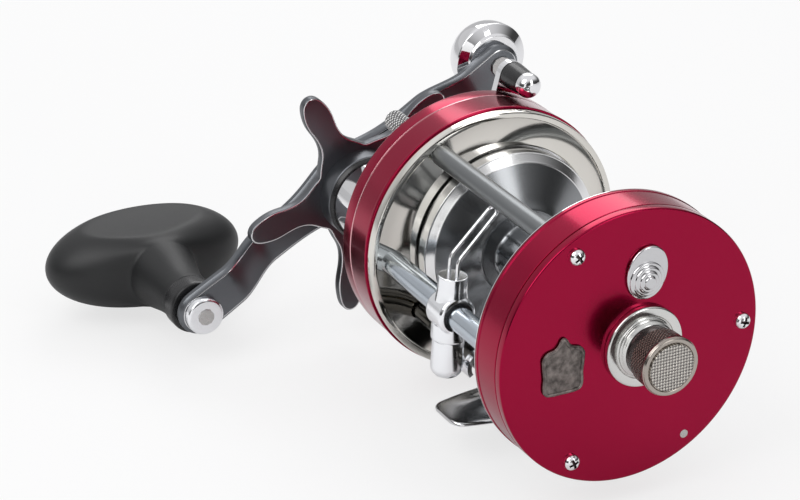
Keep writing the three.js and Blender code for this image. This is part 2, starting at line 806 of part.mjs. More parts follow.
// ---- Spool ----
// Each flange has a rim inside the ring's mouth, a cone down to the hub and a hollow back.
const flangeOuter = webFace + spoolFlangeSet;
const flangeRim = ringMouth - spoolRimGap;
const flangeInner = flangeOuter - spoolRimWidth;
const beadFace = flangeInner - spoolBeadRise;
const rootFace = beadFace - spoolConeRise;
const hubFace = rootFace - spoolHubRise;
const clickStart = palmJoint + 1.2;
const clickEnd = clickStart + clickGearWidth;
const shaftBore = shaftRadius + seatGap;
const neckEnd = pinionStart + 0.3;
const flangeProfile = [
  [hubFace + spoolWall, spoolNeckRadius],
  [hubFace + spoolWall, arborRadius],
  [rootFace + spoolWall, spoolRootRadius],
  [beadFace + spoolWall, spoolBeadRadius - 0.6],
  [flangeOuter, spoolBeadRadius + 0.4],
  [flangeOuter, flangeRim - 0.3],
  [flangeOuter - 0.3, flangeRim],
  [flangeInner, flangeRim - 0.2],
  [beadFace, spoolBeadRadius],
  [rootFace, spoolRootRadius],
  [hubFace, arborRadius],
];
const spoolBody = turned(
  [
    [clickEnd, shaftBore],
    [clickEnd, spoolNeckRadius],
    ...flangeProfile,
    ...flangeProfile.map(([station, radius]) => [-station, radius]).reverse(),
    [neckEnd, spoolNeckRadius],
    [neckEnd, shaftBore],
  ],
  fineFacets,
);
const clickShape = sawOutline(clickTeeth, clickTipRadius, clickRootRadius, 0.2);
const clickGear = cut(slab(clickShape, clickStart, clickEnd), rod(clickStart - 1, clickEnd + 1, 3, smallFacets));
add(spoolAxis, "spool", joined(spoolBody, clickGear), spoolGrey);

// ---- Tension boss, bearing and knob on the palm side ----
const bossSeat = palmFace + seatGap;
const bossFace = bossSeat + bossFlangeThickness;
const bossNeckEnd = bossFace + bossNeckLength;
const spigotEnd = bossNeckEnd + spigotLength;
const palmBearingEnd = palmInner - 0.1;
const palmBearingStart = palmBearingEnd - palmBearingWidth;
const knobEnd = bossNeckEnd + seatGap + tensionKnobLength;
const knobBore = spigotRadius + runningGap;
const shaftEndPalm = spigotEnd - 0.4;

const boss = turned(
  [
    [palmBearingStart, palmBearingRadius + seatGap],
    [palmBearingStart, bossBodyRadius],
    [bossSeat, bossBodyRadius],
    [bossSeat, bossFlangeRadius],
    [bossFace - 0.4, bossFlangeRadius],
    [bossFace, bossFlangeRadius - 0.4],
    [bossFace, bossNeckRadius],
    [bossFace + 0.35, bossNeckRadius],
    [bossFace + 0.6, bossNeckRadius - 0.5],
    [bossNeckEnd - 0.5, bossNeckRadius - 0.5],
    [bossNeckEnd, bossNeckRadius - 0.8],
    [bossNeckEnd, spigotRadius],
    [spigotEnd, spigotRadius],
    [spigotEnd, shaftRadius + runningGap],
    [palmBearingEnd + seatGap, shaftRadius + runningGap],
    [palmBearingEnd + seatGap, palmBearingRadius + seatGap],
  ],
  roundFacets,
);
add(spoolAxis, "boss_flange", boss, chrome);
const journal = shaftRadius + 0.12;
add(spoolAxis, "palm_bearing", tube(palmBearingStart, palmBearingEnd, journal, palmBearingRadius, roundFacets), steel);
const handleBearing = tube(bearingOuterFace, bearingSeatStart, journal, handleBearingRadius, mediumFacets);
add(spoolAxis, "handle_bearing", handleBearing, steel);
add(spoolAxis, "spool_shaft", rod(shaftEndHandle, shaftEndPalm, shaftRadius, smallFacets), steel);

const knobStart = bossNeckEnd + seatGap;
const tensionKnob = turned(
  [
    [knobStart, knobBore],
    [knobStart, tensionDrumRadius],
    [knobStart + tensionNeckLength, tensionDrumRadius + 0.15],
    [knobStart + tensionNeckLength + 0.2, tensionGripRadius],
    [knobEnd - 1.5, tensionGripRadius + 0.15],
    [knobEnd - 1.1, tensionBeadRadius],
    [knobEnd - 0.6, tensionBeadRadius],
    [knobEnd, tensionBeadRadius - 0.4],
    [knobEnd, endPlateRadius + 0.3],
    [knobEnd - 0.3, endPlateRadius + seatGap],
    [knobEnd - 0.3, 0],
    [knobEnd - tensionEndWall, 0],
    [knobEnd - tensionEndWall, knobBore],
  ],
  roundFacets,
);
add(spoolAxis, "tension_knob", tensionKnob, darkSteel);
const plateSeat = knobEnd - 0.3 + seatGap;
add(spoolAxis, "knob_end_plate", rod(plateSeat, plateSeat + endPlateThickness, endPlateRadius, roundFacets), polished);

// ---- Clicker: an oval button that slides, with its stem and pawl ----
const buttonSeat = palmFace + 0.1;
const buttonFace = buttonSeat + clickerPlateThickness;
const pawlPlane = (clickStart + clickEnd) / 2 - clickerPawlThickness / 2;

function ovalOutline() {
  const shape = new THREE.Shape();
  const tilt = Math.PI / 2 - clickerLean * radians;
  shape.absellipse(0, 0, clickerLength / 2, clickerWidth / 2, 0, 2 * Math.PI, false, tilt);
  return shape;
}

function steppedDome() {
  const points = [[0, 0]];
  const rise = clickerDomeHeight / clickerDomeSteps;
  const tread = clickerDomeRadius / (clickerDomeSteps + 0.5);
  for (let step = 0; step < clickerDomeSteps; step += 1) {
    const radius = clickerDomeRadius - step * tread;
    points.push([step * rise, radius]);
    points.push([(step + 0.7) * rise, radius - 0.1 * tread]);
    points.push([(step + 1) * rise, radius - 0.35 * tread]);
  }
  points.push([clickerDomeHeight, 0]);
  return points.map(([x, radius]) => [buttonFace - 0.05 + x, radius]);
}

const domeY = -clickerDomeDrop * clickerUp[0];
const domeZ = -clickerDomeDrop * clickerUp[1];
const stemLocal = [-clickerStemDrop * clickerUp[0], -clickerStemDrop * clickerUp[1]];
const clicker = frameAt(plates, 0, clickerY, clickerZ);
const clickerButton = joined(
  slab(ovalOutline(), buttonSeat, buttonFace, smallFacets),
  turned(steppedDome(), mediumFacets, domeY, domeZ),
  rod(pawlPlane + clickerPawlThickness + seatGap, buttonSeat + 0.1, clickerStemRadius, smallFacets, ...stemLocal),
);
add(clicker, "clicker_button", clickerButton, chrome);
const spoolFromClicker = [plateForward - clickerY, -clickerZ];
const pawlLine = Math.atan2(stemLocal[1] - spoolFromClicker[1], stemLocal[0] - spoolFromClicker[0]) / radians;
const pawlTipReach = clickTipRadius + clickerPawlGap + 0.4;
const [tipY, tipZ] = polar(pawlTipReach, pawlLine);
const pawlTip = [spoolFromClicker[0] + tipY, spoolFromClicker[1] + tipZ];
const clickPawl = slab(link(stemLocal, 2.1, pawlTip, 0.4), pawlPlane, pawlPlane + clickerPawlThickness, 4);
add(clicker, "clicker_pawl", clickPawl, steel);

// ---- Gear bridge with the posts that carry the yoke and the dog ----
const journalGap = runningGap;
const [dogY, dogZ] = polar(dogDistance, dogAngle);
const dogFromPlate = [crankFromPlate + dogY, dogZ];
const yokePost = [spoolFromPlate + yokePostY, -yokePostDrop];
const bridgeThrough = (radius, segments, y, z = 0) =>
  rod(bridgePlateOuter - 1, bridgePlateInner + 1, radius, segments, y, z);
const gearBridge = joined(
  cut(
    rod(bridgePlateOuter, bridgePlateInner, gearBridgeRadius, fineFacets),
    bridgeThrough(spoolNeckRadius + 0.4, mediumFacets, spoolFromPlate),
    bridgeThrough(crankJournalRadius + journalGap, smallFacets, crankFromPlate),
    bridgeThrough(wormJournalRadius + journalGap, smallFacets, tubeFromPlate),
    bridgeThrough(6.5, mediumFacets, ventY, -ventY),
    bridgeThrough(5, smallFacets, ventY + 3, ventY - 3),
    ...bolts.map(([y, z]) => bridgeThrough(screwHole, tinyFacets, y, z)),
  ),
  rod(handleInner + 0.3, bridgePlateOuter + 0.1, yokePostRadius, tinyFacets, ...yokePost),
  rod(ratchetEnd - 0.1, bridgePlateOuter + 0.1, dogPinRadius, tinyFacets, ...dogFromPlate),
);
add(plates, "gear_bridge", gearBridge, steel);

// ---- Crank: shaft, gears, drag stack ----
const sleeveInnerEnd = handleInner + 0.2;
const sleeveSeat = handleFace - seatGap;
const sleeveEnd = sleeveSeat - sleeveLength;
const collarStart = sleeveEnd - 0.2;
const collarEnd = collarStart - collarWidth;
const starStart = collarEnd - 0.2;
const starNutEnd = starStart - starHubLength;
const armHubFace = starNutEnd - armGap;
const armHubBack = armHubFace - armThickness;
const armEndFace = armHubFace + armOffset;
const armEndBack = armEndFace - armThickness;
const nutSeat = armHubBack - seatGap;
const crankBore = crankShaftRadius + seatGap;
const journalStart = bridgePlateInner - 0.3;

add(
  crank,
  "main_shaft",
  turned(
    [
      [journalStart, 0],
      [journalStart, crankJournalRadius],
      [driveLayer + 0.05, crankJournalRadius],
      [driveLayer + 0.05, crankShaftRadius],
      [nutSeat - handleNutHeight + 0.6, crankShaftRadius],
      [nutSeat - handleNutHeight + 0.6, 0],
    ],
    mediumFacets,
  ),
  steel,
);
const wormDrive = slab(gearOutline(wormDriveTeeth, 0), driveEnd, driveLayer);
add(crank, "worm_drive_gear", cut(wormDrive, rod(driveEnd - 1, driveLayer + 1, crankBore, mediumFacets)), brassFinish);
const ratchet = slab(sawOutline(ratchetTeeth, ratchetTipRadius, ratchetRootRadius, 0.5), ratchetEnd, ratchetLayer);
add(crank, "ratchet", cut(ratchet, rod(ratchetEnd - 1, ratchetLayer + 1, crankBore, mediumFacets)), steel);
const potRecess = rod(mainEnd - 1, mainEnd + mainGearPotDepth, mainGearPot, roundFacets);
const mainBlank = slab(gearOutline(mainTeeth, 0), mainEnd, mainLayer);
add(crank, "main_gear", cut(mainBlank, potRecess, rod(mainEnd - 1, mainLayer + 1, crankBore, mediumFacets)), brassFinish);
add(crank, "drag_washer_fibre", tube(fibreEnd, fibreLayer, crankBore, dragWasherRadius, roundFacets), fibre);
add(crank, "drag_washer_steel", tube(steelEnd, steelLayer, crankBore, dragWasherRadius, roundFacets), steel);
add(crank, "pressure_plate", tube(pressureEnd, pressureLayer, crankBore, dragWasherRadius, roundFacets), steel);

// The sleeve is pressed into the cover and carries the shaft on a land at each end.
const landBore = crankShaftRadius + runningGap;
const sleeveHollow = sleeveRadius - sleeveWall;
const sleeve = turned(
  [
    [sleeveInnerEnd, landBore],
    [sleeveInnerEnd, sleeveSpigotRadius],
    [sleeveSeat, sleeveSpigotRadius],
    [sleeveSeat, sleeveRadius],
    [sleeveEnd + 0.3, sleeveRadius],
    [sleeveEnd, sleeveRadius - 0.3],
    [sleeveEnd, landBore],
    [sleeveEnd + sleeveLand, landBore],
    [sleeveEnd + sleeveLand, sleeveHollow],
    [sleeveSeat - sleeveLand, sleeveHollow],
    [sleeveSeat - sleeveLand, landBore],
  ],
  roundFacets,
);
add(crank, "handle_sleeve", sleeve, chrome);
add(crank, "seal_collar", tube(collarEnd, collarStart, crankBore, collarRadius, roundFacets), blackSatin);

// ---- Star drag: a round-tipped five-armed outline cut from a dished disc ----
function starOutline() {
  const shape = new THREE.Shape();
  const sector = 360 / starArms;
  const place = (radius, across, angle) => {
    const [c, s] = polar(1, angle);
    return [radius * c - across * s, radius * s + across * c];
  };
  const tipCentre = starTipReach - starTipHalfWidth;
  const valley = starHubRadius - 0.6;
  const [startY, startZ] = polar(valley, starPhase - sector / 2);
  shape.moveTo(startY, startZ);
  for (let i = 0; i < starArms; i += 1) {
    const angle = starPhase + i * sector;
    const tipRadius = starTipHalfWidth;
    const [tipCentreY, tipCentreZ] = polar(tipCentre, angle);
    shape.bezierCurveTo(
      ...place(valley * 1.02, -starArmRoot * 0.42, angle),
      ...place(valley * 1.35, -starWaist, angle),
      ...place(tipCentre - 6.5, -starWaist, angle),
    );
    shape.quadraticCurveTo(...place(tipCentre - 3, -starWaist, angle), ...place(tipCentre, -tipRadius, angle));
    shape.absarc(tipCentreY, tipCentreZ, tipRadius, (angle - 90) * radians, (angle + 90) * radians, false);
    shape.quadraticCurveTo(...place(tipCentre - 3, starWaist, angle), ...place(tipCentre - 6.5, starWaist, angle));
    shape.bezierCurveTo(
      ...place(valley * 1.35, starWaist, angle),
      ...place(valley * 1.02, starArmRoot * 0.42, angle),
      ...polar(valley, angle + sector / 2),
    );
  }
  return shape;
}

const starBore = crankShaftRadius + runningGap;
const dishedDisc = turned(
  [
    [starStart, 0],
    [starStart, starHubRadius - 1.2],
    [starStart - 1.2, starHubRadius + 0.6],
    [starStart - starFlare, starTipReach - 3],
    [starStart - starFlare, starTipReach + 1],
    [starStart - starFlare - starThickness, starTipReach + 1],
    [starStart - starFlare - starThickness, starTipReach - 4],
    [starStart - starThickness - 1.6, starHubRadius],
    [starStart - starThickness - 2, starNutRadius],
    [starNutEnd, starNutRadius],
    [starNutEnd, 0],
  ],
  roundFacets,
);
const starBlank = slab(starOutline(), starNutEnd, starStart, 4);
const starSolid = cut(starBlank.intersect(dishedDisc), rod(starNutEnd - 1, starStart + 1, starBore, mediumFacets));
add(crank, "star_drag", starSolid, gunmetal);

// ---- Handle arm: a plan outline met by a cranked side profile ----
const counterCentre = polar(counterReach, counterAngle);
const knobCentre = polar(knobReach, knobAngle);

function armPlan(reach, bendEnd, endRadius, angle) {
  const bendStart = polar(bendEnd - armBendLength, angle);
  const bendStop = polar(bendEnd, angle);
  const hub = link([0, 0], armHubHalfWidth, bendStart, armWaistHalfWidth);
  const middle = link(bendStart, armWaistHalfWidth, bendStop, armWaistHalfWidth - 0.4);
  const end = link(bendStop, armWaistHalfWidth - 0.4, polar(reach, angle), endRadius);
  const span = (shape) => slab(shape, armHubBack - 1, armEndFace + 1, 6);
  return joined(span(hub), span(middle), span(end));
}

// The side profile lies in a plane along the arm: radius outward, station along X.
function armSide(reach, bendEnd, endRadius, angle) {
  const end = reach + endRadius + 1;
  const bendStart = bendEnd - armBendLength;
  const outline = polygon([
    [-armHubHalfWidth - 1, armHubFace],
    [bendStart, armHubFace],
    [bendEnd, armEndFace],
    [end, armEndFace],
    [end, armEndBack],
    [bendEnd, armEndBack],
    [bendStart, armHubBack],
    [-armHubHalfWidth - 1, armHubBack],
  ]);
  const depth = 4 * armHubHalfWidth;
  const geometry = new THREE.ExtrudeGeometry(outline, { depth, bevelEnabled: false });
  geometry.translate(0, 0, -depth / 2);
  const toArm = new THREE.Matrix4().set(0, 1, 0, 0, 1, 0, 0, 0, 0, 0, -1, 0, 0, 0, 0, 1);
  return solid(geometry.applyMatrix4(toArm).rotateX(angle * radians));
}

const counterSide = [counterReach, counterReach - counterweightStep - counterBendGap, counterEndRadius, counterAngle];
const knobSide = [knobReach, knobReach - knobCollarRadius - knobBendGap, knobEndRadius, knobAngle];
const armThrough = (radius, y, z) => rod(armHubBack - 2, armEndFace + 2, radius, mediumFacets, y, z);
const arm = cut(
  joined(
    armPlan(...counterSide).intersect(armSide(...counterSide)),
    armPlan(...knobSide).intersect(armSide(...knobSide)),
  ),
  armThrough(crankBore, 0, 0),
  armThrough(knobSpindleRadius + seatGap, ...knobCentre),
  armThrough(counterRivetRadius + seatGap, ...counterCentre),
);
add(crank, "handle_arm", arm, gunmetal);
const nutEnd = nutSeat - handleNutHeight;
const nutProfile = [
  [nutEnd, 0],
  [nutEnd, handleNutRadius - 0.5],
  [nutEnd + 0.5, handleNutRadius],
  [nutSeat, handleNutRadius],
  [nutSeat, 0],
];
const nutBore = rod(nutEnd + 0.5, nutSeat + 1, crankBore, mediumFacets);
add(crank, "handle_nut", cut(turned(nutProfile, 6), nutBore), chrome);

// ---- Counterweight: a domed boss behind the arm's short end, held by a rivet ----
const weightSeat = armEndBack - seatGap;
const rivetBore = counterRivetRadius + seatGap;
const weightEnd = weightSeat - counterweightDepth;
const rivetBoreEnd = weightEnd + counterweightWall;
const domeProfile = [0.18, 0.4, 0.6, 0.78, 0.92, 1].map((share) => [
  weightSeat - counterweightDepth * share,
  counterweightRadius * Math.sqrt(1 - 0.86 * Math.max(0, (share - 0.18) / 0.82) ** 2.6),
]);
const counterweight = turned(
  [
    [rivetBoreEnd, 0],
    [rivetBoreEnd, rivetBore],
    [weightSeat, rivetBore],
    [weightSeat, counterweightStep],
    [weightSeat - 0.5, counterweightStep],
    ...domeProfile,
    [weightEnd, 0],
  ],
  roundFacets,
);
const counter = frameAt(crank, 0, ...counterCentre);
add(counter, "counterweight", counterweight, chrome);
const counterRivet = joined(
  rod(rivetBoreEnd + 0.2, armEndFace + 0.2, counterRivetRadius, smallFacets),
  rod(armEndFace + seatGap, armEndFace + 0.6, counterRivetRadius + 0.5, smallFacets),
);
add(counter, "counterweight_rivet", counterRivet, chrome);

// ---- Power knob on its spindle ----
const knobGroup = frameAt(crank, 0, ...knobCentre);
const discSeat = armEndFace + seatGap;
const discFace = discSeat + knobDiscWidth;
const collarSeat = armEndBack - 0.2;
const knobCollarEnd = collarSeat - knobCollarWidth;
const gripCentre = armEndBack - knobCentreBeyondArm;
const gripStart = knobCollarEnd - 0.2;
const spindleEnd = gripCentre - 4;
const spindleBore = knobSpindleRadius + runningGap;
const knobDisc = turned(
  [
    [discSeat, knobSpindleRadius + seatGap],
    [discSeat, knobDiscRadius],
    [discFace - 0.4, knobDiscRadius],
    [discFace, knobDiscRadius - 0.4],
    [discFace, knobSpindleRadius + seatGap],
  ],
  roundFacets,
);
add(knobGroup, "knob_disc", knobDisc, chrome);
add(knobGroup, "knob_spindle", rod(spindleEnd, discFace + 0.2, knobSpindleRadius, smallFacets), steel);
const knobCollar = tube(knobCollarEnd, collarSeat, spindleBore, knobCollarRadius, roundFacets);
add(knobGroup, "knob_collar", knobCollar, blackSatin);
const egg = new THREE.SphereGeometry(1, 30, smallFacets).scale(knobHalfDepth, knobHalfLength, knobHalfHeight);
const stemEnd = gripCentre + knobHalfDepth * 0.55;
const stemLength = gripStart - stemEnd;
const stemSpread = knobStemFlare - knobStemRadius;
const stem = turned(
  [
    [stemEnd, 0],
    [gripStart, 0],
    [gripStart, knobStemRadius],
    [gripStart - stemLength * 0.18, knobStemRadius + stemSpread * 0.16],
    [gripStart - stemLength * 0.4, knobStemRadius + stemSpread * 0.52],
    [stemEnd, knobStemFlare],
  ],
  roundFacets,
);
const grip = joined(solid(egg.translate(gripCentre, 0, 0)), stem);
add(knobGroup, "power_knob", cut(grip, rod(spindleEnd - 0.4, gripStart + 1, spindleBore, smallFacets)), blackRubber);

// ---- Pinion, yoke and free-spool lever ----
const pinionGear = slab(gearOutline(pinionTeeth, Math.PI / pinionTeeth), pinionGearEnd, pinionStart);
const pinionBody = joined(
  pinionGear,
  rod(pinionFlange - 0.1, pinionGearEnd + 0.1, pinionNeckRadius, smallFacets),
  rod(pinionEnd, pinionFlange, pinionFlangeRadius, mediumFacets),
);
const pinionBore = rod(pinionEnd - 1, pinionStart + 1, shaftRadius + runningGap, smallFacets);
add(spoolAxis, "pinion", cut(pinionBody, pinionBore), brassFinish);

const leverAxis = [leverFromPlate[0] - plateForward, leverFromPlate[1]];
const yokeFork = pinionNeckRadius + runningGap;
const followerDistance = 3.6;
const followerAngle = leverRest - 180;
const [followerY, followerZ] = polar(followerDistance, followerAngle);
const camTop = yokeInner + 0.2;
const camFoot = camTop + yokeTravel + 0.3;
const yokeBlank = joined(
  slab(link([0, 0], yokeHalfWidth, leverAxis, leverShaftRadius + 3.2), yokeOuter, yokeInner),
  slab(link([0, 0], yokeHalfWidth, [yokePostY, -yokePostDrop], yokePostRadius + 1.6), yokeOuter, yokeInner),
);
const yokeSlot = joined(
  rod(yokeOuter - 1, yokeInner + 1, yokeFork, mediumFacets),
  block(yokeOuter - 1, yokeInner + 1, -yokeHalfWidth - 1, 0, -yokeFork, yokeFork),
);
const yokeThrough = (radius, y, z) => rod(yokeOuter - 1, yokeInner + 1, radius, smallFacets, y, z);
const yoke = joined(
  cut(
    yokeBlank,
    yokeSlot,
    yokeThrough(leverShaftRadius + runningGap, ...leverAxis),
    yokeThrough(yokePostRadius + runningGap, yokePostY, -yokePostDrop),
  ),
  rod(yokeInner - 0.1, camFoot - 0.15, 0.6, tinyFacets, leverAxis[0] + followerY, leverAxis[1] + followerZ),
);
add(spoolAxis, "yoke", yoke, steel);

// The lever's inner end carries a round cam whose sloped step lifts the yoke off the spool.
const lever = frameAt(spoolAxis, 0, ...leverAxis);
const leverPlateInner = handleFace - leverGap;
const leverPlateOuter = leverPlateInner - leverThickness;
const camBase = bridgePlateOuter - 0.3;
const leverEyeDistance = plateRadius + plateLip + leverGripStart + leverClearance;
const leverBearing = (leverRest - leverPivotAngle) * radians;
const pivotAcross = leverPivotDistance * Math.sin(leverBearing);
const pivotAlong = leverPivotDistance * Math.cos(leverBearing);
const leverReach = Math.sqrt(leverEyeDistance ** 2 - pivotAcross ** 2) - pivotAlong;
const leverEye = polar(leverReach, leverRest);
const rampLength = yokeTravel / camSlope;
const rampOutline = polygon([
  [-camRadius - 2, camFoot],
  [0.7, camFoot],
  [0.7 + rampLength + 0.3 / camSlope, camTop],
  [camRadius + 2, camTop],
  [camRadius + 2, camBase],
  [-camRadius - 2, camBase],
]);
const rampDepth = 4 * camRadius;
const rampGeometry = new THREE.ExtrudeGeometry(rampOutline, { depth: rampDepth, bevelEnabled: false });
rampGeometry.translate(0, 0, -rampDepth / 2);
const toCam = new THREE.Matrix4().set(0, 1, 0, 0, 1, 0, 0, 0, 0, 0, -1, 0, 0, 0, 0, 1);
const ramp = solid(rampGeometry.applyMatrix4(toCam).rotateX((leverRest - 90) * radians));
const camBlank = rod(camTop, camBase, camRadius, mediumFacets);
const cam = camBlank.intersect(ramp);
const leverBody = joined(
  cam,
  rod(leverPlateOuter, camFoot + 0.1, leverShaftRadius, smallFacets),
  rod(leverPlateInner - 0.1, handleFace - 0.25, leverHubRadius - 0.6, mediumFacets),
  slab(link([0, 0], leverHubRadius, leverEye, leverEyeRadius), leverPlateOuter, leverPlateInner, 6),
  rod(leverPlateInner - 0.1, leverPlateInner + leverGripLength + leverCapLength - 1, leverPinRadius, tinyFacets, ...leverEye),
);
add(lever, "release_lever", leverBody, blackSatin);
const gripSeat = leverPlateInner + seatGap;
const capSeat = gripSeat + leverGripLength;
const leverGrip = frameAt(lever, 0, ...leverEye);
const leverBore = leverPinRadius + seatGap;
const leverSleeve = turned(
  [
    [gripSeat, leverBore],
    [gripSeat, leverGripStart],
    [gripSeat + 1.2, leverGripStart],
    [gripSeat + 1.5, leverGripStart - 0.25],
    [capSeat, leverGripEnd],
    [capSeat, leverBore],
  ],
  mediumFacets,
);
add(leverGrip, "lever_sleeve", leverSleeve, blackSatin);
const capStart = capSeat + seatGap;
const pinEnd = leverPlateInner + leverGripLength + leverCapLength - 1;
const leverCap = turned(
  [
    [capStart, leverBore],
    [capStart, leverCapRadius],
    [capStart + leverCapLength * 0.45, leverCapRadius],
    [capStart + leverCapLength * 0.75, leverCapRadius * 0.8],
    [capStart + leverCapLength * 0.95, leverCapRadius * 0.4],
    [capStart + leverCapLength, 0],
    [pinEnd + 0.1, 0],
    [pinEnd + 0.1, leverBore],
  ],
  mediumFacets,
);
add(leverGrip, "lever_cap", leverCap, chrome);

// ---- Anti-reverse dog, held just clear of the ratchet ----
const dogArm = frameAt(crank, 0, dogY, dogZ);
const dogTipReach = ratchetTipRadius + dogTipRadius + dogTipGap;
const dogTipAngle = dogAngle - 52;
const [dogTipY, dogTipZ] = polar(dogTipReach, dogTipAngle);
const dogShape = link([0, 0], dogRadius, [dogTipY - dogY, dogTipZ - dogZ], dogTipRadius);
const dogFaces = [ratchetEnd + 0.1, ratchetLayer - 0.1];
const dogBore = rod(ratchetEnd - 1, ratchetLayer + 1, dogPinRadius + 0.12, tinyFacets);
add(dogArm, "dog", cut(slab(dogShape, ...dogFaces, 4), dogBore), steel);

// ---- Level wind ----
const slotLength = frameInside - 3;
const tubeBody = tube(-ringOuter, ringOuter, tubeBore, tubeRadius, mediumFacets);
const tubeSlot = block(-slotLength / 2, slotLength / 2, -tubeSlotWidth / 2, tubeSlotWidth / 2, -tubeRadius - 1, 0);
add(windAxis, "levelwind_tube", cut(tubeBody, tubeSlot), chrome);
const worm = turned(
  [
    [driveEnd, 0],
    [driveEnd, wormJournalRadius],
    [-ringOuter + 0.4, wormJournalRadius],
    [-ringOuter + 0.4, wormRadius],
    [ringOuter - 0.4, wormRadius],
    [ringOuter - 0.4, 0],
  ],
  smallFacets,
);
add(windAxis, "worm", worm, steel);
const cogBore = rod(driveEnd - 1, driveLayer + 1, wormJournalRadius + seatGap, smallFacets);
add(windAxis, "worm_cog", cut(slab(gearOutline(wormCogTeeth, 0), driveEnd, driveLayer), cogBore), brassFinish);

// The carriage leans a little; its lower fork straddles the guide bar.
const carriage = frameAt(windAxis, carriageX, 0, 0);
carriage.rotation.x = -carriageLean * radians;
const halfCarriage = carriageLength / 2;
const barOffset = new THREE.Vector3(0, guideBarY - tubeY, guideBarZ - spoolHeight);
barOffset.applyAxisAngle(new THREE.Vector3(1, 0, 0), carriageLean * radians);
const prongGap = pillarRadius + 0.2;
const frontProng = [barOffset.y - prongGap - forkThickness, barOffset.y - prongGap];
const rearProng = [barOffset.y + prongGap, barOffset.y + prongGap + forkThickness];
const prongEnd = barOffset.z - forkReach;
const carriageBarrel = turned(
  [
    [-halfCarriage, 0],
    [-halfCarriage, carriageRadius - 1],
    [-halfCarriage + 0.3, carriageRadius - 0.4],
    [-halfCarriage + 1, carriageRadius],
    [halfCarriage - 1, carriageRadius],
    [halfCarriage - 0.3, carriageRadius - 0.4],
    [halfCarriage, carriageRadius - 1],
    [halfCarriage, 0],
  ],
  mediumFacets,
);
const prongFoot = prongEnd + forkWidth / 2;
const prong = ([y0, y1]) =>
  joined(
    block(-forkWidth / 2, forkWidth / 2, y0, y1, prongFoot, barOffset.z + prongGap + forkThickness),
    post(y0, y1, forkWidth / 2, smallFacets).rotate([90, 0, 0]).translate([0, y0 + y1, prongFoot]),
  );
const forkStart = pawlHousingRadius + wireSeatGap;
const forkBridge = block(
  -forkWidth / 2,
  forkWidth / 2,
  forkStart,
  rearProng[1],
  barOffset.z + prongGap,
  barOffset.z + prongGap + forkThickness,
);
const forkWeb = block(-forkWidth / 2, forkWidth / 2, forkStart, frontProng[1], barOffset.z + prongGap, -1);
const housingSeat = -pawlHousingTop;
const carriageSolid = cut(
  joined(
    carriageBarrel,
    post(0, carriageCapTop, carriageCapRadius, mediumFacets),
    post(housingSeat, 0, pawlHousingRadius + 0.5, mediumFacets),
    prong(frontProng),
    prong(rearProng),
    forkBridge,
    forkWeb,
  ),
  rod(-halfCarriage - 1, halfCarriage + 1, tubeRadius + runningGap, roundFacets),
  post(housingSeat - 1, 0, pawlBore, smallFacets),
);
add(carriage, "carriage_body", carriageSolid, chrome);

const housing = cut(
  joined(
    post(-pawlHousingBottom + 1.2, housingSeat - wireSeatGap, pawlHousingRadius, mediumFacets),
    post(-pawlHousingBottom, -pawlHousingBottom + 1.2, pawlHousingRadius - 1, mediumFacets, 0, 0, pawlHousingRadius),
  ),
  post(-pawlHousingBottom + 3, housingSeat + 1, pawlBore, smallFacets),
);
add(carriage, "pawl_cap", housing, chrome);
const pawlTop = -wormRadius - 0.15;
const pawlStem = post(-pawlHousingBottom + 3.3, -tubeRadius - 0.3, pawlRadius, smallFacets);
const pawlBlade = block(-1.1, 1.1, -pawlBladeWidth / 2, pawlBladeWidth / 2, -tubeRadius - 0.5, pawlTop);
add(carriage, "worm_pawl", joined(pawlStem, pawlBlade), brassFinish);

// Line guide: a wire hairpin that rises, then leans back over the spool.
const slant = (wireSlantAngle - carriageLean) * radians;
const halfWire = wireSpacing / 2;
const wireFoot = carriageCapTop + wireSeatGap;

function wirePath() {
  const path = new THREE.CurvePath();
  const bendHeight = wireFoot + wireRise;
  const lean = (x, along) =>
    new THREE.Vector3(x, Math.sin(slant) * along, bendHeight + Math.cos(slant) * along);
  const reach = wireSlantRise / Math.cos(wireSlantAngle * radians) - halfWire;
  const crown = reach + halfWire * 1.33;
  path.add(new THREE.LineCurve3(new THREE.Vector3(-halfWire, 0, wireFoot), new THREE.Vector3(-halfWire, 0, bendHeight - 1)));
  path.add(new THREE.QuadraticBezierCurve3(new THREE.Vector3(-halfWire, 0, bendHeight - 1), lean(-halfWire, 0), lean(-halfWire, 1)));
  path.add(new THREE.LineCurve3(lean(-halfWire, 1), lean(-halfWire, reach)));
  path.add(new THREE.CubicBezierCurve3(lean(-halfWire, reach), lean(-halfWire, crown), lean(halfWire, crown), lean(halfWire, reach)));
  path.add(new THREE.LineCurve3(lean(halfWire, reach), lean(halfWire, 1)));
  path.add(new THREE.QuadraticBezierCurve3(lean(halfWire, 1), lean(halfWire, 0), new THREE.Vector3(halfWire, 0, bendHeight - 1)));
  path.add(new THREE.LineCurve3(new THREE.Vector3(halfWire, 0, bendHeight - 1), new THREE.Vector3(halfWire, 0, wireFoot)));
  return path;
}

const wireSection = new THREE.Shape().absarc(0, 0, wireRadius, 0, 2 * Math.PI, false);
const wireGeometry = new THREE.ExtrudeGeometry(wireSection, { steps: 28, extrudePath: wirePath(), curveSegments: 4 });
add(carriage, "line_guide_wire", solid(wireGeometry), chrome);

export default reel;
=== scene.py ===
"""Round baitcasting reel: fine surfaces, finishes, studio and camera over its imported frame."""

from __future__ import annotations

import json
import logging
import math
from dataclasses import dataclass
from enum import Enum
from typing import Callable, Sequence

import bmesh
import bpy
import numpy as np
from mathutils import Matrix, Vector

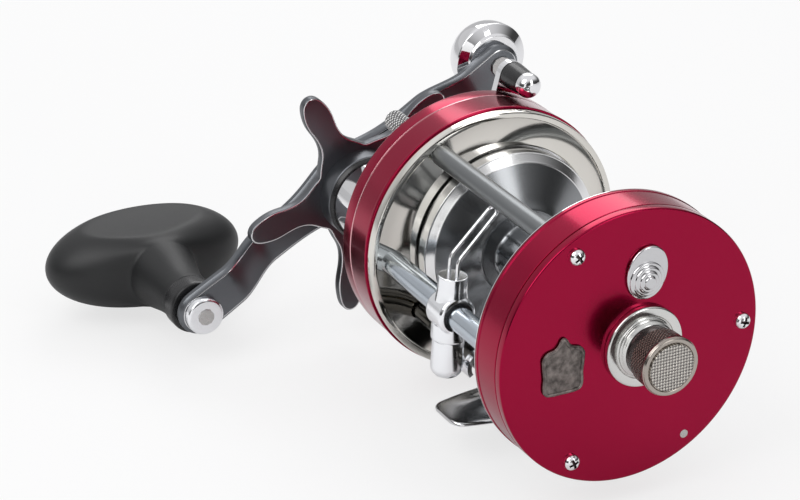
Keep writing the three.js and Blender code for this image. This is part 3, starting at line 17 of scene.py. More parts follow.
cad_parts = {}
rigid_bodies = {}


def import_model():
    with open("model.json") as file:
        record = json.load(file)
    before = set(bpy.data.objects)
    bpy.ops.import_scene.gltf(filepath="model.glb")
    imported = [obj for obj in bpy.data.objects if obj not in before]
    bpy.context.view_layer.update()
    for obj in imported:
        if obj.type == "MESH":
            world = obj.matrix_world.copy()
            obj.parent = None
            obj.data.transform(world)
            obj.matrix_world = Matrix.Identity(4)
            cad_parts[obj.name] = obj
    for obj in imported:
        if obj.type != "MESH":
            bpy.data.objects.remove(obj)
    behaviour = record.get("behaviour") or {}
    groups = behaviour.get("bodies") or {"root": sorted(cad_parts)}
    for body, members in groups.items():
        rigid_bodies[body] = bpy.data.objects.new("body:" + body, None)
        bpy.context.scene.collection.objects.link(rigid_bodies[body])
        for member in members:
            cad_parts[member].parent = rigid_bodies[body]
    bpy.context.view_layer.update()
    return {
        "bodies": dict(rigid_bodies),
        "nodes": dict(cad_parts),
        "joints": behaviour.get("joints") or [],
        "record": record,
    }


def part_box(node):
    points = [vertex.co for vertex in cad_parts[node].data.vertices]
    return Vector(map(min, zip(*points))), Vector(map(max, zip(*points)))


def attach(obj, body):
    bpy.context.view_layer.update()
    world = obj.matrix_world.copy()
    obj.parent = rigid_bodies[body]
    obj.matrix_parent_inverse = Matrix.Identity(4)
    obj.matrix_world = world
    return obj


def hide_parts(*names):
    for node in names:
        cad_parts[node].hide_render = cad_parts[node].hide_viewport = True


LOG = logging.getLogger("reel")
MM = 0.001
FULL_TURN = 2 * math.pi
Socket = bpy.types.NodeSocket
GAP = 0.05  # what a piece keeps inside its CAD box, in millimetres
RING_SIDES = 256  # segments of the widest turned pieces
SPOOL_SIDES = 224
KNOB_SIDES = 128


def ends(node: str, axis: int = 0) -> tuple[float, float]:
    """The lower and the higher end of a CAD node's box along an axis, in millimetres."""
    low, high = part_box(node)
    return low[axis] / MM, high[axis] / MM


def middle(node: str, axis: int) -> float:
    """The middle of a CAD node's box along an axis, in millimetres."""
    return sum(ends(node, axis)) / 2


def half_size(node: str, axis: int) -> float:
    """Half of a CAD node's size along an axis, in millimetres."""
    low, high = ends(node, axis)
    return (high - low) / 2


@dataclass(frozen=True)
class Layout:
    """Where the reel's main axes stand, in millimetres.

    Attributes:
        spool_z: height of the spool's axis.
        plate_y: Y of the side plates' centre.
        crank_y: Y of the handle's axis.
        tube_y: Y of the line guide's tube.
    """

    spool_z: float
    plate_y: float
    crank_y: float
    tube_y: float

    @classmethod
    def read(cls) -> "Layout":
        """Read the axes from the boxes of the CAD nodes that are turned about them."""
        sides = (middle(node, 1) for node in ("cover_palm", "handle_sleeve", "levelwind_tube"))
        return cls(middle("spool", 2), *sides)


class Axis(Enum):
    """The direction that a turned surface is made along."""

    X = "x"
    Z = "z"


@dataclass
class Surface:
    """Vertices in millimetres, faces as tuples of indices, and an optional UV for each vertex."""

    points: np.ndarray
    faces: list
    uv: np.ndarray | None = None

    def moved(self, x: float = 0.0, y: float = 0.0, z: float = 0.0) -> "Surface":
        """Return the surface shifted by a vector."""
        return Surface(self.points + np.array([x, y, z]), self.faces, self.uv)

    def turned(self, degrees: float) -> "Surface":
        """Return the surface turned about the X axis."""
        a = math.radians(degrees)
        turn = np.array([[1, 0, 0], [0, math.cos(a), -math.sin(a)], [0, math.sin(a), math.cos(a)]])
        return Surface(self.points @ turn.T, self.faces, self.uv)

    def warped(self, change: Callable[[np.ndarray], np.ndarray]) -> "Surface":
        """Return the surface with every point passed through a function."""
        return Surface(change(self.points), self.faces, self.uv)


def merged(parts: Sequence[Surface]) -> Surface:
    """Put closed surfaces together as one."""
    points, faces, uvs, base = [], [], [], 0
    for part in parts:
        points.append(part.points)
        faces.extend(tuple(i + base for i in face) for face in part.faces)
        uvs.append(part.uv if part.uv is not None else np.zeros((len(part.points), 2)))
        base += len(part.points)
    return Surface(np.concatenate(points), faces, np.concatenate(uvs))


def ring_faces(rows: int, columns: int, close_rows: bool = False) -> list:
    """Quads of a grid whose columns close on themselves.

    Args:
        rows: rings of vertices.
        columns: vertices in each ring.
        close_rows: whether the last ring joins the first.

    Returns:
        The quads, row by row.
    """
    r, c = np.meshgrid(np.arange(rows if close_rows else rows - 1), np.arange(columns), indexing="ij")
    n, d = (r + 1) % rows, (c + 1) % columns
    quads = np.stack([r * columns + c, r * columns + d, n * columns + d, n * columns + c], axis=-1)
    return [tuple(quad) for quad in quads.reshape(-1, 4).tolist()]


def end_faces(rows: int, columns: int) -> list:
    """The polygons that close the first and the last ring of a stack of rings."""
    return [tuple(range(columns))[::-1], tuple(range((rows - 1) * columns, rows * columns))]


def face_rows(rows: Sequence[int], columns: int) -> list[range]:
    """The faces that follow the given rings of a turned surface."""
    return [range(i * columns, (i + 1) * columns) for i in rows]


def stacked(rings: Sequence[np.ndarray]) -> Surface:
    """Join rings of points, one after the other, and close both ends."""
    rows, columns = len(rings), len(rings[0])
    return Surface(np.concatenate(rings), ring_faces(rows, columns) + end_faces(rows, columns))


def standing(station: float, outline: np.ndarray) -> np.ndarray:
    """Set a Y-Z outline upright at an X station."""
    return np.column_stack([np.full(len(outline), station), outline])


def inward_of(outline: np.ndarray) -> np.ndarray:
    """Unit vectors to the left of the way round an outline: inward where it runs anticlockwise."""
    along = np.roll(outline, -1, axis=0) - np.roll(outline, 1, axis=0)
    along /= np.linalg.norm(along, axis=1)[:, None]
    return np.stack([-along[:, 1], along[:, 0]], axis=-1)


def relaxed(points: np.ndarray, rounds: int) -> np.ndarray:
    """Soften an outline: each round moves a point halfway to the mean of its neighbours."""
    for _ in range(rounds):
        points = 0.5 * points + 0.25 * (np.roll(points, 1, axis=0) + np.roll(points, -1, axis=0))
    return points


def arc(radius: float, angles: np.ndarray) -> np.ndarray:
    """Points on a circle about the origin."""
    return np.column_stack([radius * np.cos(angles), radius * np.sin(angles)])


def heading(degrees: float) -> np.ndarray:
    """A unit vector in Y-Z, from +Y toward +Z."""
    return np.array([math.cos(math.radians(degrees)), math.sin(math.radians(degrees))])


def smooth_step(x: np.ndarray, start: float, end: float) -> np.ndarray:
    """Rise smoothly from 0 at start to 1 at end."""
    s = np.clip((x - start) / (end - start), 0, 1)
    return s * s * (3 - 2 * s)


def edge_rows(back: float, edge: float, turns: np.ndarray) -> list:
    """Stations and insets of a rounded edge: (back + e (1 - sin t), e (1 - cos t))."""
    return [(back + edge * (1 - math.sin(t)), edge * (1 - math.cos(t))) for t in turns]


def revolve(profile: Sequence[Sequence[float]], segments: int = 128, axis: Axis = Axis.X) -> Surface:
    """Turn a profile about an axis: point = centre + r (cos t, sin t) at the station.

    Args:
        profile: (station, radius) or (station, radius, shift), where shift moves the ring's centre along Y.
        segments: vertices in each ring.
        axis: the axis of the turning.

    Returns:
        A closed surface, with UV (turn, station).
    """
    rows = np.array([[p[0], max(p[1], 0.0), p[2] if len(p) > 2 else 0.0] for p in profile])
    closed = rows[0, 1] > 1e-6 or rows[-1, 1] > 1e-6
    t = np.linspace(0, FULL_TURN, segments, endpoint=False)
    radius = np.maximum(rows[:, 1], 1e-4)[:, None]
    along = np.repeat(rows[:, 0][:, None], segments, axis=1)
    a, b = rows[:, 2][:, None] + radius * np.cos(t), radius * np.sin(t)
    grid = np.stack([along, a, b] if axis is Axis.X else [a, b, along], axis=-1)
    faces = ring_faces(len(rows), segments, closed)
    if not closed:
        faces += end_faces(len(rows), segments)
    uv = np.stack([np.tile(t / FULL_TURN, (len(rows), 1)), along], axis=-1)
    return Surface(grid.reshape(-1, 3), faces, uv.reshape(-1, 2))


def rounded(corners: Sequence[Sequence[float]], steps: int = 4) -> list:
    """Round the corners of a profile.

    Args:
        corners: (station, radius, fillet) triples; a fillet of 0 keeps the corner sharp.
        steps: points on each fillet.

    Returns:
        (station, radius) pairs.
    """
    out: list = []
    for i, (x, r, fillet) in enumerate(corners):
        if fillet <= 0 or i in (0, len(corners) - 1):
            out.append((x, r))
            continue
        here = np.array([x, r], float)
        before = np.array(corners[i - 1][:2], float) - here
        after = np.array(corners[i + 1][:2], float) - here
        cut = min(fillet, np.linalg.norm(before) / 2, np.linalg.norm(after) / 2)
        a = here + before / np.linalg.norm(before) * cut
        b = here + after / np.linalg.norm(after) * cut
        for s in np.linspace(0, 1, steps + 1):
            p = (1 - s) ** 2 * a + 2 * s * (1 - s) * here + s**2 * b
            out.append((float(p[0]), float(p[1])))
    return out


def sweep(path: np.ndarray, radius: float, sides: int) -> Surface:
    """Carry a circle along a path without twist.

    Args:
        path: the centreline, one point a row.
        radius: the wire's radius.
        sides: vertices round it.

    Returns:
        A closed tube.
    """
    tangent = np.gradient(path, axis=0)
    tangent /= np.linalg.norm(tangent, axis=1)[:, None]
    side = np.cross(tangent[0], [0.0, 1.0, 0.1])
    side /= np.linalg.norm(side)
    t = np.linspace(0, FULL_TURN, sides, endpoint=False)
    rings = []
    for point, along in zip(path, tangent):
        side = side - along * float(side @ along)
        side /= np.linalg.norm(side)
        up = np.cross(along, side)
        rings.append(point + radius * (np.cos(t)[:, None] * side + np.sin(t)[:, None] * up))
    return stacked(rings)


def plate(outline: np.ndarray, back: float, front: float, edge: float, steps: int) -> Surface:
    """A flat outline in Y-Z given thickness along X, with rounded edges.

    Args:
        outline: (y, z) points, once round, anticlockwise.
        back: the lower X station.
        front: the higher X station.
        edge: the edge radius.
        steps: rings on each edge.

    Returns:
        A closed surface whose two faces are single polygons, with UV (y, z).
    """
    inward = inward_of(outline)
    rows = edge_rows(back, edge, np.linspace(0, math.pi / 2, steps + 1))
    rows = rows[::-1] + [(front - (x - back), d) for x, d in rows]
    made = stacked([standing(x, outline + inward * inset) for x, inset in rows])
    made.uv = made.points[:, 1:3].copy()
    return made


def loft(stations: np.ndarray, half_y: np.ndarray, half_z: np.ndarray, segments: int) -> Surface:
    """Ellipses along X: point = (x, a(x) cos t, b(x) sin t).

    Args:
        stations: X stations.
        half_y: the ellipses' half-lengths along Y.
        half_z: the ellipses' half-heights along Z.
        segments: vertices in each ring.

    Returns:
        A closed surface.
    """
    t = np.linspace(0, FULL_TURN, segments, endpoint=False)
    flat = zip(stations, half_y, half_z)
    return stacked([standing(x, np.column_stack([a * np.cos(t), b * np.sin(t)])) for x, a, b in flat])


# ---- Finishes ----


@dataclass
class Graph:
    """Short ways to add nodes to one node tree and to join them."""

    tree: bpy.types.NodeTree

    def add(self, kind: str) -> bpy.types.Node:
        """Add a node, by the name of its kind without the prefix."""
        return self.tree.nodes.new(f"ShaderNode{kind}")

    def feed(self, socket: Socket, value: Socket | float | tuple) -> None:
        """Link a value into a socket, or set the socket where the value is constant."""
        if isinstance(value, Socket):
            self.tree.links.new(value, socket)
        else:
            socket.default_value = value

    def point(self) -> Socket:
        """Return the object coordinates."""
        return self.add("TexCoord").outputs["Object"]

    def parts(self, vector: Socket) -> bpy.types.bpy_prop_collection:
        """Return a vector's X, Y and Z."""
        node = self.add("SeparateXYZ")
        self.feed(node.inputs["Vector"], vector)
        return node.outputs

    def joined(self, **values: Socket) -> Socket:
        """Return a vector made of X, Y and Z."""
        node = self.add("CombineXYZ")
        for name, value in values.items():
            self.feed(node.inputs[name], value)
        return node.outputs["Vector"]

    def math(
        self, operation: str, a: Socket, b: Socket | float | None = None
    ) -> Socket:
        """Return the result of an operation on one or two values."""
        node = self.add("Math")
        node.operation = operation
        self.feed(node.inputs[0], a)
        if b is not None:
            self.feed(node.inputs[1], b)
        return node.outputs["Value"]

    def noise(self, vector: Socket, scale: float, detail: float = 2.0) -> Socket:
        """Return a noise value on the coordinates."""
        node = self.add("TexNoise")
        self.feed(node.inputs["Vector"], vector)
        self.feed(node.inputs["Scale"], scale)
        self.feed(node.inputs["Detail"], detail)
        return node.outputs["Fac"]

    def ramp(
        self, value: Socket, low: tuple, high: tuple, start: float = 0.0, end: float = 1.0
    ) -> Socket:
        """Return a colour that runs from low to high while the value runs from start to end."""
        node = self.add("ValToRGB")
        for element, position, color in zip(node.color_ramp.elements, (start, end), (low, high)):
            element.position, element.color = position, (*color, 1.0)
        self.feed(node.inputs["Fac"], value)
        return node.outputs["Color"]

    def blend(
        self,
        factor: Socket,
        a: Socket | tuple,
        b: Socket | tuple,
    ) -> Socket:
        """Return a colour between two colours."""
        node = self.add("Mix")
        node.data_type = "RGBA"
        for name, value in (("Factor", factor), ("A", a), ("B", b)):
            self.feed(node.inputs[name], value)
        return node.outputs["Result"]

    def bump(
        self,
        height: Socket,
        distance: float,
        strength: float,
        normal: Socket | None = None,
    ) -> Socket:
        """Return a normal that is bent by a height."""
        node = self.add("Bump")
        for name, value in (("Distance", distance), ("Strength", strength), ("Height", height)):
            self.feed(node.inputs[name], value)
        if normal is not None:
            self.feed(node.inputs["Normal"], normal)
        return node.outputs["Normal"]


@dataclass(frozen=True)
class Finish:
    """A surface: its colour, metal, gloss, fine grain and soft variation.

    Attributes:
        name: the material's name.
        color: linear base colour.
        metallic: 0 or 1.
        roughness: the mean roughness.
        spread: how far roughness wanders.
        tint: share by which the colour wanders.
        scale: size of the variation, in cells a metre.
        grain: bump distance in metres.
        grain_scale: cells a metre of the fine grain.
        coat: clear coat weight.
        brushed: whether the grain runs in rings about the spool's axis.
    """

    name: str
    color: tuple[float, float, float]
    metallic: float = 1.0
    roughness: float = 0.2
    spread: float = 0.04
    tint: float = 0.06
    scale: float = 60.0
    grain: float = 0.00001
    grain_scale: float = 4000.0
    coat: float = 0.0
    brushed: bool = False

    def build(self) -> bpy.types.Material:
        """Make the node material, once.

        Returns:
            The material, whose colour, roughness and bump come from object coordinates.
        """
        made = bpy.data.materials.get(self.name)
        if made is not None:
            return made
        made = bpy.data.materials.new(self.name)
        made.use_nodes = True
        graph = Graph(made.node_tree)
        shader = made.node_tree.nodes["Principled BSDF"]
        shader.inputs["Metallic"].default_value = self.metallic
        shader.inputs["Coat Weight"].default_value = self.coat
        shader.inputs["Coat Roughness"].default_value = 0.08
        shader.inputs["Coat IOR"].default_value = 1.2
        point = graph.point()
        cloud = graph.noise(point, self.scale, 3.0)
        fine = graph.noise(self._rings(graph, point) if self.brushed else point, self.grain_scale)
        low = tuple(max(c * (1 - self.tint), 0.0) for c in self.color)
        high = tuple(min(c * (1 + self.tint), 1.0) for c in self.color)
        span = graph.add("MapRange")
        span.inputs["To Min"].default_value = max(self.roughness - self.spread, 0.01)
        span.inputs["To Max"].default_value = self.roughness + self.spread
        graph.feed(span.inputs["Value"], fine)
        graph.feed(shader.inputs["Roughness"], span.outputs["Result"])
        color, normal = graph.ramp(cloud, low, high, 0.3, 0.7), graph.bump(fine, self.grain, 0.6)
        color, normal = self.dressed(graph, color, normal)
        graph.feed(shader.inputs["Base Color"], color)
        graph.feed(shader.inputs["Normal"], normal)
        return made

    def dressed(
        self, graph: Graph, color: Socket, normal: Socket
    ) -> tuple[Socket, Socket]:
        """Return the colour and the normal with what a special finish adds; a plain one adds nothing."""
        return color, normal

    @staticmethod
    def _rings(graph: Graph, point: Socket) -> Socket:
        """Return coordinates (distance from the spool's axis, x), for a grain in rings."""
        split = graph.parts(point)
        raised = graph.math("SUBTRACT", split["Z"], middle("spool", 2) * MM)
        length = graph.add("VectorMath")
        length.operation = "LENGTH"
        graph.feed(length.inputs[0], graph.joined(X=split["Y"], Y=raised))
        return graph.joined(X=length.outputs["Value"], Y=split["X"])


@dataclass(frozen=True)
class Patterned(Finish):
    """A finish with crossed grooves that follow the piece's own UV, darkened by painted shade in the grooves.

    Attributes:
        across: grooves for each unit of U.
        along: grooves for each unit of V.
        slant: 1 for diamonds, 0 for squares.
        depth: bump distance of the grooves, in metres.
        groove_shade: colour at the bottom of a groove, a painted shade.
        contrast: how fast the colour rises out of a groove.
    """

    across: float = 60.0
    along: float = 1.2
    slant: float = 1.0
    depth: float = 0.00012
    # The groove colour is painted shade that darkens the bottom of each groove.
    groove_shade: tuple[float, float, float] = (0.02, 0.02, 0.02)
    contrast: float = 2.2

    def dressed(
        self, graph: Graph, color: Socket, normal: Socket
    ) -> tuple[Socket, Socket]:
        """Add the grooves: height = |sin a| |sin b|, with a and b the UV, or their sum and difference; the
        colour falls to the painted groove shade where the height is low.
        """
        split = graph.parts(graph.add("UVMap").outputs["UV"])
        u = graph.math("MULTIPLY", split["X"], self.across * math.pi)
        v = graph.math("MULTIPLY", split["Y"], self.along * math.pi)
        if self.slant > 0:
            u, v = graph.math("ADD", u, v), graph.math("SUBTRACT", u, v)
        waves = [graph.math("ABSOLUTE", graph.math("SINE", value)) for value in (u, v)]
        height = graph.math("MULTIPLY", *waves)
        sharp = graph.math("MULTIPLY", height, self.contrast)
        sharp.node.use_clamp = True
        # Painted shade: the colour darkens toward the bottom of each groove.
        color = graph.blend(sharp, (*self.groove_shade, 1.0), color)
        return color, graph.bump(height, self.depth, 1.0, normal)


RED = Finish("red_anodised", (0.33, 0.0035, 0.037), 1.0, 0.2, 0.02, 0.03, 40.0, 0.000003, 3000.0, 0.6)
# Light pink copy of the red: a painted highlight along the handle cover's trim groove.
RED_GROOVE_HIGHLIGHT = Finish("painted_highlight_groove_line", (0.75, 0.42, 0.45), 1.0, 0.12)
CHROME = Finish("bright_chrome", (0.86, 0.86, 0.87), 1.0, 0.05, 0.015, 0.02, 90.0, 0.000001)
SATIN_CHROME = Finish("satin_chrome", (0.7, 0.7, 0.71), 1.0, 0.16, 0.03, 0.04, 90.0, 0.000002)
# Near-black mirror metal: on the palm ring it is a painted dark reflection on the web; on the lower guide bar
# it is the bar's own dark colour.
DARK_BAR_AND_PAINTED_REFLECTION = Finish("dark_bar_metal_and_painted_dark_reflection", (0.06, 0.057, 0.052), 1.0, 0.1, 0.02, 0.05, 50.0, 0.000002)
NICKEL = Finish("polished_nickel", (0.74, 0.72, 0.67), 1.0, 0.06, 0.015, 0.03, 50.0, 0.000001)
SATIN_BAR = Finish("satin_bar", (0.22, 0.23, 0.235), 1.0, 0.34, 0.03, 0.04, 90.0, 0.000002)
SATIN_BOSS = Finish("satin_boss", (0.68, 0.68, 0.66), 1.0, 0.16, 0.03, 0.04, 90.0, 0.000002)
TUBE_METAL = Finish("satin_tube", (0.52, 0.57, 0.62), 1.0, 0.18, 0.03, 0.03, 90.0, 0.000002)
BRIGHT_SATIN = Finish("bright_satin", (0.92, 0.93, 0.95), 1.0, 0.15, 0.03, 0.02, 90.0, 0.000001)
CLICK_CHROME = Finish("soft_chrome", (0.64, 0.64, 0.65), 1.0, 0.12, 0.02, 0.03, 90.0, 0.000001)
# Bright spool rim metal: partly the rims' own polish, partly a painted highlight on the rims and bead.
SPOOL_RIM_AND_HIGHLIGHT = Finish("bright_spool_rim_and_painted_highlight", (0.85, 0.85, 0.85), 1.0, 0.17, 0.02, 0.02, 80.0, 0.0000005)
SPUN = Finish(
    "spun_spool", (0.3, 0.31, 0.32), 1.0, 0.2, 0.006, 0.02, 80.0, 0.0000001, 2500.0, brushed=True
)
STEEL = Finish("machined_steel", (0.52, 0.51, 0.5), 1.0, 0.28, 0.06, 0.06, 120.0, 0.000004)
BRASS = Finish("machined_brass", (0.62, 0.42, 0.16), 1.0, 0.26, 0.06, 0.08, 120.0, 0.000004)
GUNMETAL = Finish(
    "gunmetal_anodised", (0.15, 0.156, 0.168), 1.0, 0.37, 0.01, 0.05, 50.0, 0.0000005, 3500.0
)
ARM_METAL = Finish("gunmetal_arm", (0.16, 0.168, 0.18), 1.0, 0.35, 0.04, 0.06, 50.0, 0.000004, 3500.0)
BLACK = Finish("black_satin", (0.012, 0.012, 0.013), 0.0, 0.28, 0.06, 0.2, 90.0, 0.000008)
RUBBER = Finish("grip_rubber", (0.007, 0.0075, 0.008), 0.0, 0.46, 0.06, 0.15, 60.0, 0.00002, 2600.0)
FIBRE = Finish("drag_fibre", (0.035, 0.03, 0.027), 0.0, 0.8, 0.1, 0.3, 300.0, 0.00003, 2200.0)
PLAQUE = Finish("cast_plaque", (0.17, 0.15, 0.14), 1.0, 0.42, 0.12, 0.5, 700.0, 0.0003, 1100.0)
KNOB_RIM = Finish("worn_nickel_rim", (0.42, 0.38, 0.34), 1.0, 0.2, 0.03, 0.05, 90.0, 0.000002)
# Dark steel: the tension knob's own colour, and painted shade inside the palm screws' driver recesses.
DARK_STEEL_AND_RECESS_SHADE = Finish("bronzed_steel_and_painted_recess_shade", (0.075, 0.055, 0.055), 1.0, 0.22, 0.05, 0.1, 90.0, 0.000004)
# The dark groove colours of the knurls and the cross-cut plate are painted shade in their grooves.
KNURL = Patterned(
    "fine_knurl", (0.26, 0.16, 0.14), 1.0, 0.25,
    across=38.0, along=1.25, depth=0.0003, groove_shade=(0.004, 0.003, 0.003), contrast=1.0,
)  # fmt: skip
SCREW_KNURL = Patterned(
    "screw_knurl", (1.0, 1.0, 0.98), 1.0, 0.2,
    across=14.0, along=0.9, depth=0.0005, groove_shade=(0.1, 0.1, 0.1), contrast=1.1,
)  # fmt: skip
MESH = Patterned(
    "cross_cut_plate", (0.68, 0.65, 0.6), 1.0, 0.24,
    across=1.35, along=1.35, slant=0.0, depth=0.0002, groove_shade=(0.06, 0.05, 0.05),
)  # fmt: skip
KEPT = (
    (CHROME, ("release_lever",)),
    (SATIN_CHROME, ("gear_bridge",)),
    (BRASS, ("worm_drive_gear", "main_gear", "pinion", "worm", "worm_cog")),
    (FIBRE, ("drag_washer_fibre", "yoke")),
    (STEEL, ("spool_shaft", "palm_bearing", "handle_bearing", "main_shaft", "ratchet", "drag_washer_steel")),
    (STEEL, ("pressure_plate", "dog", "worm_pawl", "clicker_pawl", "knob_spindle", "counterweight_rivet")),
)


# ---- Building ----


@dataclass
class Workshop:
    """Turns surfaces into objects that ride on a body and stand for CAD nodes.

    Attributes:
        frame: the loaded frame.
        at: the main axes.
    """

    frame: dict
    at: Layout

    def add(
        self,
        name: str,
        surface: Surface,
        finish: Finish,
        body: str,
        node: str = "",
        smooth: float = 35.0,
        trim: tuple[Finish, Sequence[range]] | None = None,
    ) -> None:
        """Make one object.

        Args:
            name: the piece's name.
            surface: its surface, in millimetres.
            finish: its finish.
            body: the body that it moves with.
            node: the CAD node that it stands for, if any.
            smooth: angle under which neighbouring faces shade as one, in degrees.
            trim: a second finish and the ranges of faces that wear it.
        """
        mesh = bpy.data.meshes.new(name)
        mesh.from_pydata((surface.points * MM).tolist(), [], surface.faces)
        if surface.uv is not None:
            layer = mesh.uv_layers.new(name="UVMap")
            loops = np.empty(len(mesh.loops), dtype=np.int32)
            mesh.loops.foreach_get("vertex_index", loops)
            layer.data.foreach_set("uv", surface.uv[loops].astype(np.float32).ravel())
        mesh.validate()
        made = bpy.data.objects.new(name, mesh)
        bpy.context.scene.collection.objects.link(made)
        work = bmesh.new()
        work.from_mesh(mesh)
        bmesh.ops.recalc_face_normals(work, faces=work.faces[:])
        work.to_mesh(mesh)
        work.free()
        mesh.shade_smooth()
        mesh.set_sharp_from_angle(angle=math.radians(smooth))
        mesh.materials.append(finish.build())
        if trim is not None:
            mesh.materials.append(trim[0].build())
            worn = np.zeros(len(mesh.polygons), dtype=np.int32)
            for run in trim[1]:
                worn[run.start : run.stop] = 1
            mesh.polygons.foreach_set("material_index", worn)
        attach(made, body)
        if node:
            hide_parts(node)
        LOG.info("%s: %d faces", name, len(mesh.polygons))

    def dress(self) -> None:
        """Give each CAD node that keeps its shape a finish."""
        for finish, nodes in KEPT:
            for node in nodes:
                mesh = self.frame["nodes"][node].data
                mesh.materials.clear()
                mesh.materials.append(finish.build())

    def lathe(
        self,
        name: str,
        corners: Sequence[Sequence[float]],
        finish: Finish,
        body: str,
        node: str,
        start: float = 0.0,
        centre: tuple[float, float] | None = None,
        steps: int = 4,
        sides: int = 96,
        smooth: float = 35.0,
    ) -> None:
        """Round a profile, turn it about an axis along X and make it an object.

        Args:
            name: the piece's name.
            corners: (station, radius, fillet) triples.
            finish: its finish.
            body: the body that it moves with.
            node: the CAD node that it stands for.
            start: the X that stations are measured from.
            centre: Y and Z of the axis, or None for the middle of the node's box.
            steps: points on each fillet.
            sides: vertices in each ring.
            smooth: angle under which neighbouring faces shade as one, in degrees.
        """
        y, z = centre or (middle(node, 1), middle(node, 2))
        made = revolve(rounded(corners, steps), sides).moved(start, y, z)
        self.add(name, made, finish, body, node, smooth)


@dataclass
class Group:
    """Pieces that are built together.

    Attributes:
        shop: the workshop that makes their objects.
    """

    shop: Workshop

    @property
    def at(self) -> Layout:
        """The main axes."""
        return self.shop.at

    def build(self) -> None:
        """Build every piece of the group."""
        raise NotImplementedError


# ---- Side covers and frame ----


@dataclass
class SideCovers(Group):
    """The two red cups, their screws, the index pin and the plain cast plaque.

    Attributes:
        radius: outer radius of the covers.
        lip: height of the lip at each open edge.
        skirt: wall of the palm cover where it reaches over its ring.
        boss_height: height of the round boss on the handle cover.
        boss_radius: outer radius of that boss.
        boss_bore: radius of the hollow inside it, which the pinion's end reaches into.
    """

    radius: float = 33.0
    lip: float = 0.2
    skirt: float = 0.8
    boss_height: float = 2.2
    boss_radius: float = 6.2
    boss_bore: float = 4.6

    def build(self) -> None:
        """Build the covers and what is fastened to them."""
        palm_edge, palm_face = ends("cover_palm")
        palm, _ = self._cup(ends("frame_ring_palm")[1] + GAP, palm_face, 1.7, 2.25, palm_edge)
        self.shop.add("palm_side_cover", palm, RED, "frame", "cover_palm")
        boss_end, joint = ends("cover_handle")
        handle_face = boss_end + self.boss_height
        handle, line = self._cup(joint, handle_face, 1.6, 4.2, joint, self.boss_height - GAP)
        # The trim groove's faces wear a light pink that paints a highlight along the groove.
        self.shop.add("handle_side_cover", handle, RED, "frame", "cover_handle", trim=(RED_GROOVE_HIGHLIGHT, line))
        for number in (1, 2, 3):
            self._palm_screw(number, palm_face)
            self._thumb_screw(f"thumb_screw_{number}", handle_face - GAP)
        face = palm_face
        corners = [(face - 1.4, 0, 0), (face - 1.4, 1.03, 0), (face + 0.08, 1.03, 0.12), (face + 0.08, 0, 0)]
        self.shop.lathe("flush_index_pin", corners, STEEL, "frame", "index_pin", sides=40)
        self._plaque()

    def _cup(
        self, seat: float, face: float, wall: float, groove: float, edge: float, boss: float = 0.0
    ) -> tuple[Surface, list[range]]:
        """A cup whose lip, trim groove and face edge are turned in one profile.

        Its boss is hollow, and the boss's rings are centred on the spool's axis.

        Args:
            seat: station of the shoulder that rests on the ring.
            face: station of the outer face.
            wall: thickness of the face.
            groove: distance from the face to the trim groove.
            edge: station of the open edge.
            boss: height of the boss on the face, or 0 for none.

        Returns:
            The closed cup, in its place, and the faces of its trim groove.
        """
        s = 1.0 if face > seat else -1.0
        r, rim = self.radius, self.radius + self.lip
        cut, back = face - s * groove, face - s * wall
        bore = rim - self.skirt
        skirt = [(seat, bore, 0.05), (edge, bore, 0.1)] if edge != seat else []
        corners = [(back, 0, 0), (back, r - 1.5, 1.0), (seat, r - 1.5, 0.1), *skirt]
        corners += [(edge, rim, 0.18), (edge + s * 0.9, rim, 0.12), (edge + s * 1.05, r, 0.08)]
        corners += [(cut - s * 0.22, r, 0.06), (cut - s * 0.1, r - 0.3, 0.05)]
        corners += [(cut + s * 0.1, r - 0.3, 0.05), (cut + s * 0.22, r, 0.06)]
        corners += [(face, r, 0.45), (face, r - 1.2, 0), (face, 0, 0)]
        profile = rounded(corners, 5)
        if boss:
            tip = face + s * boss
            hollow = [(tip - s * 1.0, 0.0), (tip - s * 1.0, self.boss_bore), (back, self.boss_bore)]
            outside = rounded([(face, self.boss_radius, 0), (tip, self.boss_radius, 0.8), (tip, 0, 0)])
            inner, outer = ([(x, q, -self.at.plate_y) for x, q in part] for part in (hollow, outside))
            profile = [*inner, *profile[1:-1], *outer]
        sunk = [abs(x - cut) < 0.3 and q > r - 0.5 for x, q, *_ in profile]
        rows = [i for i in range(len(profile) - 1) if sunk[i] and sunk[i + 1]]
        turned = revolve(profile, RING_SIDES).moved(y=self.at.plate_y, z=self.at.spool_z)
        return turned, face_rows(rows, RING_SIDES)

    def _palm_screw(self, number: int, face: float) -> None:
        """A pan head whose driver recess is sunk by a smooth cross-shaped dip; its deepest faces wear a
        painted shade.

        The head is a height field: x = max(dome(r) - depth cross(y, z), 0), with cross from 0 to 1.
        """
        node = f"cover_screw_{number}"
        rings, sides, radius, depth, arm = 40, 96, 1.9, 0.75, 1.15
        foot, outside = face + 0.02, 9.0
        r = np.linspace(0, 1, rings)[1:] * radius
        t = np.linspace(0, FULL_TURN, sides, endpoint=False)
        y, z = r[:, None] * np.cos(t), r[:, None] * np.sin(t)
        height = ends(node)[1] - face - GAP
        dome = height * np.sqrt(np.clip(1 - (r / 1.98) ** 2.6, 0, 1))[:, None]
        bars = [np.where(np.abs(a) < arm, np.abs(b), outside) for a, b in ((y, z), (z, y))]
        sunk = depth * (1 - smooth_step(np.minimum(*bars), 0.16, 0.36))
        top = np.stack([foot + np.maximum(dome - sunk, 0.0), y, z], axis=-1).reshape(-1, 3)
        centre = np.array([[foot + height - depth, 0.0, 0.0]])
        points = np.concatenate([top, standing(face, arc(radius, t)), centre])
        fan = (rings - 1) * sides
        faces = ring_faces(rings, sides)
        faces += [(len(points) - 1, i, (i + 1) % sides) for i in range(sides)]
        faces.append(tuple(range(fan, fan + sides))[::-1])
